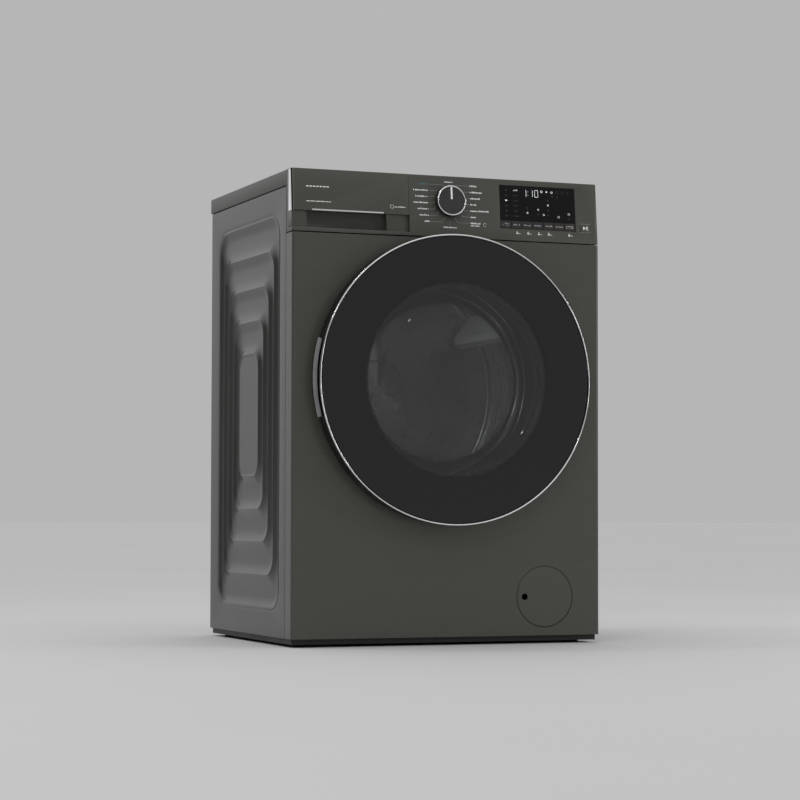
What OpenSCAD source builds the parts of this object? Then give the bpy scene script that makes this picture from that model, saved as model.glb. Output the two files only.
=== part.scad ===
// Front load washing machine, in millimetres. +Z is up, -Y is the front, and the origin is on the
// floor under the middle of the machine. A place inside is given by its depth behind the front panel.

/* [Cabinet] */
// Width of the cabinet
cabinet_w = 600; // [590:5:720]
// Height from the floor to the top of the worktop
total_h = 850; // [840:5:1020]
// Depth from the front panel to the rear panel
body_d = 488; // [486:2:590]
// Thickness of the sheet steel
sheet_t = 1.2; // [0.8:0.1:1.6]
// Height of the feet under the cabinet
foot_h = 15; // [14:1:20]
// Radius of a foot's pad
foot_r = 15; // [12:1:18]
// Depth by which the front panel wraps round onto the sides
wrap_d = 36; // [32:1:44]
// Radius of the upright front corners
corner_r = 6; // [3:0.5:8]
// Thickness of the worktop
worktop_t = 28; // [24:1:34]
// Overhang of the worktop behind the rear panel
worktop_over = 10; // [8:1:20]
// Depth of each pressed cove in the side panels
cove_depth = 6.5; // [3:0.1:7]
// Number of pressed coves in each side panel
cove_count = 4; // [2:1:4]

/* [Control panel] */
// Height of the control panel
fascia_h = 113; // [108:1:125]
// Angle by which the control panel leans back
fascia_lean = 5.3; // [0:0.1:8]
// Wall of the control panel and of the drawer front
fascia_t = 2.5; // [2:0.1:3]
// Width of the detergent drawer's front
drawer_w = 223; // [210:1:245]
// Radius of the programme knob
knob_r = 28; // [20:0.5:30]
// How far the knob stands out
knob_proud = 13; // [8:0.5:20]
// Width of the display glass
display_w = 152; // [100:1:156]
// Height of the display glass
display_h = 81; // [50:1:84]
// Width of the start key
key_w = 20; // [12:0.5:24]
// Height of the start key
key_h = 14.5; // [8:0.5:18]

/* [Door] */
// Radius of the door
door_r = 262; // [240:1:266]
// How far the door stands out in front of the front panel
door_proud = 42; // [40:1:50]
// Gap between the door's back and the front panel
door_gap = 3; // [2:0.5:4]
// Radius of the glass bowl where it leaves the door
bowl_r = 172; // [168:1:174]
// Reach of the bowl behind the front panel
bowl_reach = 62; // [56:1:64]
// Radius of the hinge pin
hinge_pin_r = 3; // [2.5:0.1:4]

/* [Tub and drum] */
// Outer radius of the tub
tub_r = 258; // [255:1:264]
// Wall of the tub
tub_t = 2.5; // [2:0.1:4]
// Radius of the drum
drum_r = 240; // [225:1:243]
// Depth of the drum
drum_d = 292; // [260:1:294]
// Radius of the drum shaft
shaft_r = 15; // [12:0.5:17]
// Radius of the drum pulley
pulley_r = 140; // [110:1:150]
// Radius of the motor pulley
motor_pulley_r = 10; // [8:0.5:12]
// Radius of the drain filter cover
cover_r = 55; // [48:1:56]

/* [Hidden] */
$fn = 96;
eps = 0.01;
run_gap = 0.05;
move_gap = 0.3;

half_w = cabinet_w / 2;
inner_w = half_w - sheet_t;
front_y = door_proud - (door_proud + body_d + worktop_over) / 2;
base_z = foot_h;
fascia_z = total_h - fascia_h;
front_top_z = fascia_z - 2;
worktop_z = total_h - worktop_t;
worktop_d = wrap_d;
door_z = fascia_z + 2 - door_r;
rear_d = body_d - sheet_t;

// Rear drive, counted back from the rear panel
pulley_d = rear_d - 34;
belt_w = 14;
belt_t = 3;
hub_back_d = pulley_d - 4;
tub_back_d = pulley_d - 53;
tub_join_d = 150;
tub_front_d = 62;
neck_r = bowl_r + 15;
drum_back_d = tub_back_d - 27;
drum_front_d = drum_back_d - drum_d;
bearing_r = 31;
bearing_w = 16;
sump_drop = tub_r + 24;
motor_drop = tub_r + 99;
motor_z = door_z - motor_drop;
motor_r = 52;
spring_x = min(inner_w - 36, tub_r + 4);
spring_d = 325;
spring_low = 129;
spring_r = 13;
wire_r = 2;
hanger_z = worktop_z - 42;

// Dampers, from a pin on the base up to a pin on the tub
damper_d = 240;
damper_foot = [tub_r - 53, base_z + 37];
damper_head = [tub_r / 2 - 1, door_z - tub_r + 13];
damper_run = damper_foot - damper_head;
damper_len = norm(damper_run);
damper_tilt = atan(damper_run[0] / (damper_head[1] - damper_foot[1]));

// Drawer and dispenser
drawer_x = -half_w + drawer_w;
drawer_floor_z = fascia_z + 13;
drawer_top_z = worktop_z - 10;
drawer_back_d = 285;
grip_z = fascia_z + 38;
dress_d = 25;
trim_t = 3;
tray_x0 = -half_w + 16;
tray_x1 = drawer_x - 15;
inlet_x = tray_x1 - 58;
inlet_d = 250;
tub_inlet_z = door_z + sqrt(pow(tub_r, 2) - pow(abs(inlet_x) - 22, 2));

// Knob, display and key on the leaning fascia: across, and up from its bottom edge
knob_x = drawer_x + 79;
knob_up = 66;
display_x = half_w - 198;
display_up = 22;
key_x = half_w - 26.4;
key_up = 29;

// Drain
filter_x = half_w - 111;
filter_z = base_z + 70.5;
pipe_x = half_w - 38;
pipe_r = 9.5;
drain_z = filter_z - 16;
pipe_bend = 20;
pipe_z = worktop_z - 94;
valve_x = 52 - spring_x;
valve_z = worktop_z - 47;
spigot_r = 13.2;
pocket_deep = 26;

// Door hinge
hinge_x = door_r - 10;
hinge_front = door_gap + 19;
hinge_half = 24;
catch_x = -226;
catch_front = 10;
foot_places = [[-1, 58], [1, 58], [-1, body_d - 39], [1, body_d - 39]];
foot_in = 34;

// Turns a shape so that its own Z runs from the front of the machine to the back
module at_depth(x, z, d) {
    translate([x, front_y + d, z]) rotate([-90, 0, 0]) children();
}

module rod_y(x, z, d0, d1, r) {
    at_depth(x, z, d0) cylinder(h = d1 - d0, r = r);
}

module tube_y(x, z, d0, d1, r_out, r_in) {
    at_depth(x, z, d0) difference() {
        cylinder(h = d1 - d0, r = r_out);
        translate([0, 0, -1]) cylinder(h = d1 - d0 + 2, r = r_in);
    }
}

module block(x0, x1, d0, d1, z0, z1) {
    translate([x0, front_y + d0, z0]) cube([x1 - x0, d1 - d0, z1 - z0]);
}

// A turned shape about an axis along the depth: outline points are [radius, depth]
module turned(x, z, outline) {
    at_depth(x, z, 0) rotate_extrude() polygon(outline);
}

// A plan outline with both front corners rounded, its front edge on y = 0
module rounded_plan(half, depth, r) {
    union() {
        translate([-half, r]) square([2 * half, depth - r]);
        translate([-half + r, 0]) square([2 * half - 2 * r, depth]);
        for (s = [-1, 1]) translate([s * (half - r), r]) circle(r);
    }
}

// The control panel's own frame: y = 0 is its face, and z runs up along it
module on_fascia() {
    translate([0, front_y, fascia_z]) rotate([-fascia_lean, 0, 0]) children();
}

module leaning_block(inset, r) {
    on_fascia() translate([0, inset, -40]) linear_extrude(fascia_h + 80)
        rounded_plan(half_w - inset, 120, r);
}

// Sweeps a round tube of radius r along points, with its sides facing the given vector
function unit(v) = v / norm(v);
function ring_at(p, dir, ref, r, n) = let (u = unit(cross(dir, ref)), v = unit(cross(u, dir)))
    [for (k = [0:n - 1]) p + r * (cos(360 * k / n) * u + sin(360 * k / n) * v)];

module swept_tube(path, r, n, ref) {
    last = len(path) - 1;
    points = [for (i = [0:last])
        each ring_at(path[i], unit(path[min(i + 1, last)] - path[max(i - 1, 0)]), ref, r, n)];
    sides = [for (i = [0:last - 1], k = [0:n - 1]) let (a = i * n + k, b = i * n + (k + 1) % n)
        each [[a, a + n, b], [b, a + n, b + n]]];
    ends = [[for (k = [0:n - 1]) k], [for (k = [n - 1:-1:0]) last * n + k]];
    polyhedron(points, concat(sides, ends), convexity = 6);
}

// ---- Cabinet ----

module base_tray() {
    color([0.16, 0.16, 0.16]) difference() {
        union() {
            difference() {
                block(-inner_w, inner_w, 8, rear_d, base_z, base_z + 30);
                block(-inner_w + 3, inner_w - 3, 11, rear_d - 3, base_z - 1, base_z + 31);
            }
            difference() {
                block(-inner_w + 3, inner_w - 3, 11, rear_d - 3, base_z - 10, base_z + 30);
                block(-inner_w + 6, inner_w - 6, 14, rear_d - 6, base_z, base_z + 31);
                block(-inner_w + 6, inner_w - 6, 14, rear_d - 6, base_z - 11, base_z - 3);
            }
            for (f = foot_places) translate([f[0] * (half_w - foot_in), front_y + f[1], base_z - 3])
                cylinder(h = 33, r = foot_r + 3);
            for (s = [-1, 1], e = [-14, 9]) {
                damper_base_ear(s * damper_foot[0], damper_d + e, 5);
            }
            for (s = [-1, 1])
                rod_y(s * damper_foot[0], damper_foot[1], damper_d - 14, damper_d + 14, 4);
        }
        for (f = foot_places) translate([f[0] * (half_w - foot_in), front_y + f[1], base_z - 9])
            cylinder(h = 50, r = 5 + run_gap);
        rod_y(filter_x, filter_z, 0, 28, cover_r + 5);
    }
}

// An upright ear that carries a damper's pin
module damper_base_ear(x, d, t) {
    block(x - 12, x + 12, d, d + t, base_z - 1, damper_foot[1]);
    rod_y(x, damper_foot[1], d, d + t, 12);
}

// Pressed side panel: nested rounded rectangles with a cove between each and the next
panel_mid_d = wrap_d + 0.5 + (body_d - wrap_d - 0.5) / 2;
panel_mid_z = (base_z + worktop_z) / 2;
panel_half_d = (body_d - wrap_d - 0.5) / 2;
panel_half_h = (worktop_z - base_z) / 2;
ring_half_d = panel_half_d - 46;
ring_half_h = panel_half_h - 50;
ring_step_d = 30.3;
ring_step_h = 60;
ring_forward = 7.5;
cove_parts = 4;
corner_parts = 6;

function loop_points(a, b, r) = [for (q = [0:3], j = [0:corner_parts])
    let (t = q * 90 + j * 90 / corner_parts,
        sx = (q == 0 || q == 3) ? 1 : -1,
        sz = q < 2 ? 1 : -1)
    [sx * (a - r) + r * cos(t), sz * (b - r) + r * sin(t)]];

function cove(t) = cove_depth * (1 - pow(2 * t - 1, 2));

function panel_loop(k) = k == 0
    ? [for (p = loop_points(panel_half_d, panel_half_h, 2)) [0, p[0], p[1]]]
    : let (s = (k - 1) / cove_parts)
        [for (p = loop_points(ring_half_d - ring_step_d * s, ring_half_h - ring_step_h * s, 40 - 2 * s))
            [cove(s - floor(s)), p[0] - ring_forward, p[1]]];

module side_panel() {
    loops = cove_count * cove_parts + 2;
    n = 4 * (corner_parts + 1);
    outside = [for (k = [0:loops - 1]) each [for (p = panel_loop(k))
        [-half_w + p[0], front_y + panel_mid_d + p[1], panel_mid_z + p[2]]]];
    inside = [for (p = outside) p + [sheet_t, 0, 0]];
    m = len(outside);
    skin = [for (i = [0:loops - 2], k = [0:n - 1]) let (a = i * n + k, b = i * n + (k + 1) % n)
        each [[a, b, b + n], [a, b + n, a + n]]];
    middle = [for (k = [0:n - 1]) (loops - 1) * n + k];
    rim = [for (k = [0:n - 1]) let (b = (k + 1) % n) each [[k, m + k, m + b], [k, m + b, b]]];
    flipped = [for (f = skin) [f[2] + m, f[1] + m, f[0] + m]];
    polyhedron(concat(outside, inside),
        concat(skin, flipped, rim, [middle], [[for (k = [n - 1:-1:0]) middle[k] + m]]),
        convexity = 8);
}

module left_panel() {
    color([0.40, 0.40, 0.40]) side_panel();
}

module right_panel() {
    color([0.40, 0.40, 0.40]) mirror([1, 0, 0]) side_panel();
}

screw_places = concat([for (a = [30:60:359]) [165 * cos(a), door_z + 165 * sin(a)]],
    [for (s = [-1, 1], z = [base_z + 65, door_z - 30, worktop_z - 22]) [s * (inner_w - 13), z]]);

module rear_panel() {
    color([0.45, 0.45, 0.45]) difference() {
        union() {
            block(-inner_w, inner_w, rear_d, body_d, base_z, worktop_z);
            pocket(valve_x, valve_z, 0);
            pocket(pipe_x, pipe_z, 0);
        }
        pocket(valve_x, valve_z, sheet_t);
        pocket(pipe_x, pipe_z, sheet_t);
        rod_y(0, door_z, rear_d - 1, body_d + 1, 150);
        for (p = screw_places) rod_y(p[0], p[1], rear_d - 1, body_d + 1, 2.2);
        for (sx = [-1, 1], sz = [-1, 1])
            rod_y(sx * 190, door_z + sz * 155, rear_d - 1, body_d + 1, 8);
        rod_y(valve_x, valve_z, rear_d - pocket_deep - 2, rear_d, spigot_r + move_gap);
        rod_y(pipe_x, pipe_z, rear_d - pocket_deep - 2, rear_d, pipe_r + move_gap);
        rod_y(-inner_w + 80, base_z + 95, rear_d - 1, body_d + 1, 12);
    }
}

// The recess that keeps a hose connection within the depth of the machine
module pocket(x, z, t) {
    block(x - 29 + t, x + 29 - t, body_d - pocket_deep, body_d + t - eps * sign(t), z - 29 + t, z + 29 - t);
}

module rear_cover() {
    color([0.5, 0.5, 0.5]) difference() {
        union() {
            rod_y(0, door_z, body_d, body_d + sheet_t, 176);
            rod_y(0, door_z, body_d + sheet_t - eps, body_d + 4, 130);
        }
        rod_y(0, door_z, body_d - 1, body_d + 4 - sheet_t, 130 - sheet_t);
        for (i = [0:5]) rod_y(screw_places[i][0], screw_places[i][1], body_d - 1, body_d + 5, 2.2);
    }
}

module cabinet_screws() {
    color([0.7, 0.7, 0.7]) for (i = [0:len(screw_places) - 1]) {
        p = screw_places[i];
        seat = body_d + (i < 6 ? sheet_t : 0);
        rod_y(p[0], p[1], seat - 9, seat + eps, 2);
        rod_y(p[0], p[1], seat, seat + 2.4, 4);
    }
}

module front_panel() {
    color([0.26, 0.26, 0.24]) difference() {
        union() {
            translate([0, front_y, base_z]) linear_extrude(front_top_z - base_z) difference() {
                rounded_plan(half_w, wrap_d, corner_r);
                translate([0, sheet_t]) rounded_plan(inner_w, wrap_d + 5, corner_r - sheet_t);
            }
            tube_y(0, door_z, 0, 12, neck_r + 8, neck_r + 8 - sheet_t);
        }
        rod_y(0, door_z, -1, sheet_t + 1, neck_r + 8 - sheet_t);
        rod_y(filter_x, filter_z, -1, sheet_t + 1, cover_r + 1);
        block(catch_x - 14, catch_x + 10, -1, sheet_t + 1, door_z - 10, door_z + 10);
        for (s = [-1, 1]) block(hinge_x - 3, hinge_x + 3, -1, sheet_t + 1,
            door_z + s * 30 - 7, door_z + s * 30 + 7);
    }
}

module worktop() {
    color([0.3, 0.3, 0.29]) difference() {
        block(-half_w, half_w, worktop_d, body_d + worktop_over, worktop_z, total_h);
        difference() {
            block(-half_w + 9, half_w - 9, worktop_d + 8, body_d - 4, worktop_z - 1, total_h - 5);
            for (x = [-150, 0, 150]) block(x - 1.5, x + 1.5, worktop_d, body_d, worktop_z + 6, total_h);
        }
    }
}

// Cross bar at the top, with a hanger for each suspension spring
module top_frame() {
    color([0.55, 0.56, 0.57]) union() {
        block(-inner_w, inner_w, spring_d - 20, spring_d + 20, worktop_z - 14, worktop_z - 12);
        for (d = [spring_d - 20, spring_d + 18.5])
            block(-inner_w, inner_w, d, d + 1.5, worktop_z - 14, worktop_z - 4);
        for (s = [-1, 1]) {
            x0 = s < 0 ? -inner_w : inner_w - 2;
            block(x0, x0 + 2, spring_d - 20, spring_d + 20, hanger_z - 1, worktop_z - 12);
            block(min(s * (spring_x - 15), s * inner_w), max(s * (spring_x - 15), s * inner_w),
                spring_d - 12, spring_d + 12, hanger_z, hanger_z + 4);
        }
    }
}

// ---- Control panel ----

module fascia() {
    color([0.29, 0.29, 0.27]) difference() {
        union() {
            difference() {
                fascia_body(0, corner_r, 0);
                fascia_body(fascia_t, corner_r - fascia_t, fascia_t);
                block(-half_w - 1, drawer_x, -20, dress_d, fascia_z + 7, total_h + 1);
            }
            intersection() {
                fascia_body(0, corner_r, 0);
                union() {
                    block(drawer_x, drawer_x + fascia_t, 0, worktop_d - 2, fascia_z, total_h);
                    block(-half_w + 1, drawer_x + 1, 0, worktop_d - 2, fascia_z + 4.5, fascia_z + 7);
                }
            }
        }
        on_fascia() {
            rotate([90, 0, 0]) translate([knob_x, knob_up, -10]) cylinder(h = 20, r = 6.5);
            translate([display_x, -1, display_up]) cube([display_w, 2.5, display_h]);
            translate([key_x - key_w / 2 - move_gap, -5, key_up - key_h / 2 - move_gap])
                cube([key_w + 2 * move_gap, 15, key_h + 2 * move_gap]);
        }
    }
}

module fascia_body(inset, r, lift) {
    intersection() {
        leaning_block(inset, r);
        block(-half_w - 1, half_w + 1, -30, worktop_d + (inset > 0 ? 5 : 0), fascia_z + lift, total_h - lift);
    }
}

module display_glass() {
    color([0.05, 0.05, 0.05]) on_fascia() translate([display_x, 0, display_up])
        cube([display_w, 1.5, display_h]);
}

module control_board() {
    color([0.1, 0.3, 0.18]) on_fascia() union() {
        translate([drawer_x + 8, 8, 12]) cube([half_w - drawer_x - 22, 1.6, 82]);
        translate([display_x + 6, fascia_t, display_up + 4]) cube([display_w - 12, 6, display_h - 14]);
        translate([knob_x - 14, fascia_t, knob_up - 14]) difference() {
            cube([28, 6, 28]);
            translate([14, -1, 14]) rotate([-90, 0, 0]) cylinder(h = 5, r = 7);
        }
        translate([key_x - 6, 5.2, key_up - 6]) cube([12, 3, 12]);
    }
}

module knob() {
    color([0.2, 0.2, 0.2]) on_fascia() translate([knob_x, 0, knob_up]) rotate([90, 0, 0]) union() {
        translate([0, 0, -5]) cylinder(h = 7, r = 6);
        difference() {
            rotate_extrude() polygon([[0, 0.6], [knob_r, 0.6], [knob_r, knob_proud - 2],
                [knob_r - 1, knob_proud], [knob_r - 2.2, knob_proud], [knob_r - 2.6, knob_proud - 1.2],
                [0, knob_proud - 0.8]]);
            translate([-1.6, 3, knob_proud - 1.6]) cube([3.2, knob_r - 6, 3]);
        }
    }
}

module start_key() {
    color([0.3, 0.3, 0.28]) on_fascia() translate([key_x, -0.8, key_up]) union() {
        translate([-key_w / 2, 0, -key_h / 2]) cube([key_w, 3, key_h]);
        translate([-4, 2.9, -4]) cube([8, 1.8, 8]);
    }
}

// ---- Detergent drawer ----

module drawer_front() {
    color([0.27, 0.27, 0.25]) difference() {
        intersection() {
            leaning_block(0, corner_r);
            block(-half_w, drawer_x - 0.5, -20, dress_d - move_gap, fascia_z + 7.4, total_h);
        }
        intersection() {
            leaning_block(3, corner_r - 3);
            block(-half_w + 4, drawer_x - 4, -20, dress_d + 5, grip_z + 3, total_h - 3);
        }
        on_fascia() {
            translate([-half_w - 1, -5, 0]) cube([drawer_w + 5, 10, grip_z - fascia_z]);
            translate([-half_w + 28, -5, 0]) cube([152, 20, grip_z - fascia_z]);
        }
        trim_end();
        trim_strip();
    }
}

// Bright trim: the end piece that wraps the drawer front's left end, and the strip over its grip
module drawer_trim() {
    color([0.85, 0.85, 0.86]) {
        intersection() {
            leaning_block(0, corner_r);
            trim_end();
        }
        trim_strip();
    }
}

module trim_end() {
    block(-half_w - 1, -half_w + trim_t, -20, dress_d - move_gap, grip_z - 1, total_h - 1);
}

module trim_strip() {
    on_fascia() translate([-half_w + 37, -1, grip_z - fascia_z]) cube([136, 4, 2.6]);
}

module drawer_tray() {
    w = 2;
    x0 = tray_x0;
    x1 = tray_x1;
    third = (x1 - x0) / 3;
    color([0.85, 0.86, 0.87]) union() {
        block(x0, x1, dress_d - move_gap, drawer_back_d, drawer_floor_z, drawer_floor_z + w);
        for (x = [x0, x0 + third, x1 - third, x1 - w])
            block(x, x + w, dress_d - move_gap, drawer_back_d, drawer_floor_z, drawer_top_z - 8);
        for (d = [dress_d - move_gap, drawer_back_d - w])
            block(x0, x1, d, d + w, drawer_floor_z, drawer_top_z - 8);
        block(x0, x0 + third, 140, 140 + w, drawer_floor_z, drawer_top_z - 20);
    }
}

module dispenser_housing() {
    w = 2.5;
    x0 = tray_x0 - 2;
    x1 = tray_x1 + 2;
    z0 = drawer_floor_z - move_gap;
    z1 = drawer_top_z;
    color([0.75, 0.76, 0.77]) difference() {
        union() {
            block(x0 - w, x1 + w, worktop_d + 2, drawer_back_d + 5 + w, z0 - w, z1 + w);
            translate([inlet_x, front_y + inlet_d, z0 - w - 12]) cylinder(h = 13, r = 17);
        }
        block(x0, x1, worktop_d - 5, drawer_back_d + 5, z0, z1);
        translate([inlet_x, front_y + inlet_d, z0 - w - 13]) cylinder(h = 20, r = 14);
    }
}

module dispenser_hose() {
    top = drawer_floor_z - move_gap - 2.5;
    low = tub_inlet_z + 12;
    waves = 4;
    step = (top - 13 - low) / waves;
    color([0.12, 0.12, 0.12]) translate([inlet_x, front_y + inlet_d, 0]) union() {
        difference() {
            translate([0, 0, top - 13]) cylinder(h = 12.5, r = 20);
            translate([0, 0, top - 14]) cylinder(h = 15, r = 17 + eps);
        }
        for (i = [0:waves - 1]) translate([0, 0, low + i * step]) rotate_extrude()
            polygon([[15, 0], [19, 0], [22, step / 2], [19, step], [15, step], [18, step / 2]]);
        difference() {
            translate([0, 0, low - 10]) cylinder(h = 10, r = 20);
            translate([0, 0, low - 11]) cylinder(h = 12, r = 17 + move_gap);
        }
    }
}

module inlet_valve() {
    d1 = body_d - pocket_deep;
    color([0.85, 0.85, 0.83]) difference() {
        union() {
            block(valve_x - 22, valve_x + 22, d1 - 34, d1, valve_z - 18, valve_z + 18);
            rod_y(valve_x, valve_z, d1 - 1, body_d - 1, spigot_r);
            rod_y(valve_x, valve_z, drawer_back_d + 7.5, d1 - 33, 8);
        }
        rod_y(valve_x, valve_z, d1 - 20, body_d, 8);
        rod_y(valve_x, valve_z, drawer_back_d + 7, d1 - 20 + eps, 5);
    }
}

// ---- Drain ----

module filter_well() {
    color([0.18, 0.18, 0.18]) difference() {
        union() {
            rod_y(filter_x, filter_z, sheet_t, 27, cover_r + 4.5);
            rod_y(filter_x, filter_z, 26, 95, 36);
            translate([filter_x - 54, front_y + 60, filter_z]) rotate([0, 90, 0]) cylinder(h = 30, r = 17);
        }
        rod_y(filter_x, filter_z, 0, 24, cover_r + 2);
        rod_y(filter_x, filter_z, 20, 90, 31);
        rod_y(filter_x, filter_z, 85, 96, 12);
        translate([filter_x - 55, front_y + 60, filter_z]) rotate([0, 90, 0]) cylinder(h = 30, r = 14);
    }
}

module filter_cover() {
    color([0.28, 0.28, 0.26]) difference() {
        union() {
            turned(filter_x, filter_z, [[0, -0.4], [cover_r - 1, -0.4], [cover_r, 0.4],
                [cover_r, 2], [cover_r - 2, 2], [cover_r - 2, 1.6], [0, 1.6]]);
            for (s = [-1, 1]) block(filter_x + s * (cover_r - 5) - 1, filter_x + s * (cover_r - 5) + 1,
                1, 11, filter_z - 6, filter_z + 6);
        }
        rod_y(filter_x - 40, filter_z, -2, 4, 6);
    }
}

module pump_filter() {
    color([0.35, 0.36, 0.38]) difference() {
        union() {
            rod_y(filter_x, filter_z, 16, 26, 30);
            rod_y(filter_x, filter_z, 25, 30, 30.5);
            block(filter_x - 26, filter_x + 26, 6, 17, filter_z - 4, filter_z + 4);
            tube_y(filter_x, filter_z, 29, 80, 27, 24.5);
        }
        for (a = [0:45:179]) at_depth(filter_x, filter_z, 40) rotate([0, 0, a])
            translate([-40, -4, 0]) cube([80, 8, 34]);
    }
}

module drain_pump() {
    color([0.2, 0.2, 0.22]) difference() {
        union() {
            rod_y(filter_x, filter_z, 95, 120, 38);
            rod_y(filter_x, filter_z, 119, 172, 27);
            block(filter_x - 20, filter_x + 20, 98, 160, base_z, filter_z - 20);
            rod_y(pipe_x, drain_z, 98, 140, 12);
            translate([filter_x, front_y + 110, drain_z]) rotate([0, 90, 0])
                cylinder(h = pipe_x - filter_x, r = 12);
        }
        rod_y(filter_x, filter_z, 94, 112, 30);
        rod_y(pipe_x, drain_z, 110, 141, pipe_r - 2);
        translate([filter_x, front_y + 110, drain_z]) rotate([0, 90, 0])
            cylinder(h = pipe_x - filter_x, r = pipe_r - 2);
    }
}

// Rigid waste pipe: back along the base, up the rear and out through its pocket
module drain_pipe() {
    up_d = body_d - pocket_deep - 27;
    low_z = drain_z;
    color([0.75, 0.75, 0.74]) union() {
        hollow_run(140, up_d - pipe_bend, low_z);
        translate([pipe_x, front_y + up_d - pipe_bend, low_z + pipe_bend]) rotate([90, 0, 90])
            quarter_bend(270);
        translate([pipe_x, front_y + up_d, low_z + pipe_bend]) difference() {
            cylinder(h = pipe_z - low_z - 2 * pipe_bend, r = pipe_r);
            translate([0, 0, -1]) cylinder(h = pipe_z - low_z, r = pipe_r - 2);
        }
        translate([pipe_x, front_y + up_d + pipe_bend, pipe_z - pipe_bend]) rotate([90, 0, 90])
            quarter_bend(90);
        hollow_run(up_d + pipe_bend, body_d - 1, pipe_z);
    }
}

module hollow_run(d0, d1, z) {
    tube_y(pipe_x, z, d0, d1, pipe_r, pipe_r - 2);
}

module quarter_bend(start) {
    rotate([0, 0, start]) rotate_extrude(angle = 90) translate([pipe_bend, 0]) difference() {
        circle(pipe_r);
        circle(pipe_r - 2);
    }
}

function sump_route() = let (y = front_y, x1 = filter_x - 54)
    [[40, y + 200, door_z - sump_drop - 14], [40, y + 199, door_z - sump_drop - 34],
    [44, y + 190, door_z - sump_drop - 54], [56, y + 166, filter_z + 36],
    [74, y + 134, filter_z + 20], [x1 - 38, y + 96, filter_z + 8],
    [x1 - 28, y + 72, filter_z + 2], [x1 - 12, y + 60, filter_z], [x1, y + 60, filter_z]];

module sump_hose() {
    color([0.1, 0.1, 0.1]) swept_tube(sump_route(), 16, 10, [0.3, 0.9, 0.2]);
}

module mains_gland() {
    x = -inner_w + 80;
    color([0.1, 0.1, 0.1]) difference() {
        union() {
            rod_y(x, base_z + 95, rear_d - 8, body_d + 3, 12 - eps);
            rod_y(x, base_z + 95, body_d, body_d + 3, 17);
            rod_y(x, base_z + 95, rear_d - 8, rear_d, 15);
        }
        rod_y(x, base_z + 95, rear_d - 10, body_d + 5, 4.5);
    }
}

module foot(i) {
    f = foot_places[i];
    color([0.12, 0.12, 0.12]) translate([f[0] * (half_w - foot_in), front_y + f[1], 0]) union() {
        rotate_extrude()
            polygon([[0, 0], [foot_r - 1, 0], [foot_r, 1], [foot_r, 5], [foot_r - 4, 7], [0, 7]]);
        translate([0, 0, 7 - eps]) cylinder(h = base_z - 3 - 7 - move_gap, r = 9, $fn = 6);
        cylinder(h = base_z + 22, r = 5);
    }
}

module foot_front_left() {
    foot(0);
}

module foot_front_right() {
    foot(1);
}

module foot_rear_left() {
    foot(2);
}

module foot_rear_right() {
    foot(3);
}

// ---- Door ----

glass_r = door_r - 4.4;
glass_edge = door_proud - 3.5;
glass_t = 3;
function dome(r) = -glass_edge - (door_proud - glass_edge) * (1 - pow(r / glass_r, 2));

module door_glass() {
    n = 8;
    face = [for (i = [0:n]) [glass_r * i / n, dome(glass_r * i / n)]];
    back = [for (i = [n:-1:0]) [glass_r * i / n, dome(glass_r * i / n) + glass_t]];
    color([0.06, 0.06, 0.06, 0.6]) turned(0, door_z, concat(face, back));
}

module door_ring() {
    f = glass_edge;
    color([0.85, 0.86, 0.87]) turned(0, door_z, [[door_r - 4, -f + 3], [door_r - 4, -f - 1],
        [door_r - 3.3, -f - 1.8], [door_r - 2, -f - 2.1], [door_r - 0.7, -f - 1.8], [door_r, -f - 1],
        [door_r, -f + 3]]);
}

frame_r = door_r - 1.5;
frame_front = glass_edge - 3;

module door_frame() {
    f = frame_front;
    g = door_gap;
    color([0.08, 0.08, 0.08]) difference() {
        union() {
            turned(0, door_z, [[frame_r - 3, -f], [frame_r, -f], [frame_r, -g - 1], [frame_r - 1, -g],
                [bowl_r + 0.5, -g], [bowl_r + 0.5, -g - 3], [frame_r - 3, -g - 3]]);
            turned(0, door_z, [[frame_r - 9, -f], [frame_r - 2, -f],
                [frame_r - 2, -f + 2.5], [frame_r - 9, -f + 2.5]]);
            grip_arc(frame_r - 20.5, frame_r - 1, -f + 1, -g - 1);
        }
        grip_arc(frame_r - 18, frame_r + 5, -f + 3.5, -10.5);
        grip_arc(frame_r - 3, frame_r + 5, -11.001, -8);
        for (s = [-1, 1]) block(hinge_x - 6, door_r + 5, -f - 1, 0, door_z + s * 30 - 7, door_z + s * 30 + 7);
        rod_z(hinge_x, -hinge_front, -38.5, 38.5, 7.5);
        block(catch_x - 11, catch_x + 7, -g - 5, 1, door_z - 8, door_z + 8);
    }
}

module rod_z(x, d, z0, z1, r) {
    translate([x, front_y + d, door_z + z0]) cylinder(h = z1 - z0, r = r);
}

// Arc on the left of the door, where the fingers go in
grip_half = 15.5;
module grip_arc(r0, r1, d0, d1) {
    at_depth(0, door_z, 0) rotate([0, 0, 180 - grip_half]) rotate_extrude(angle = 2 * grip_half)
        polygon([[r0, d0], [r1, d0], [r1, d1], [r0, d1]]);
}

module door_grip() {
    color([0.8, 0.8, 0.8]) grip_arc(frame_r - 3, frame_r + 4, -11, -8);
}

module window_shroud() {
    back = -door_gap - 7;
    color([0.07, 0.07, 0.07]) turned(0, door_z, [
        [bowl_r - 2, -glass_edge + 4.4], [bowl_r + 1, -glass_edge + 4.4],
        [bowl_r + 1, back - 3], [bowl_r + 12, back - 3], [bowl_r + 12, back], [bowl_r - 2, back]]);
}

// Glass bowl: outline of its outside, from the flange to the middle of its end
function bowl_outline(shrink) = let (r1 = bowl_r - 22 - shrink, round = 12)
    concat([[bowl_r - shrink, -door_gap]], [[bowl_r - shrink, 4]],
    [for (a = [0:15:75]) [r1 - round + round * cos(a), bowl_reach - 6 - shrink - round + round * sin(a)]],
    [for (i = [3:-1:0]) [(r1 - round) * i / 3, bowl_reach - shrink - 6 * pow(i / 3, 2)]]);

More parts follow.
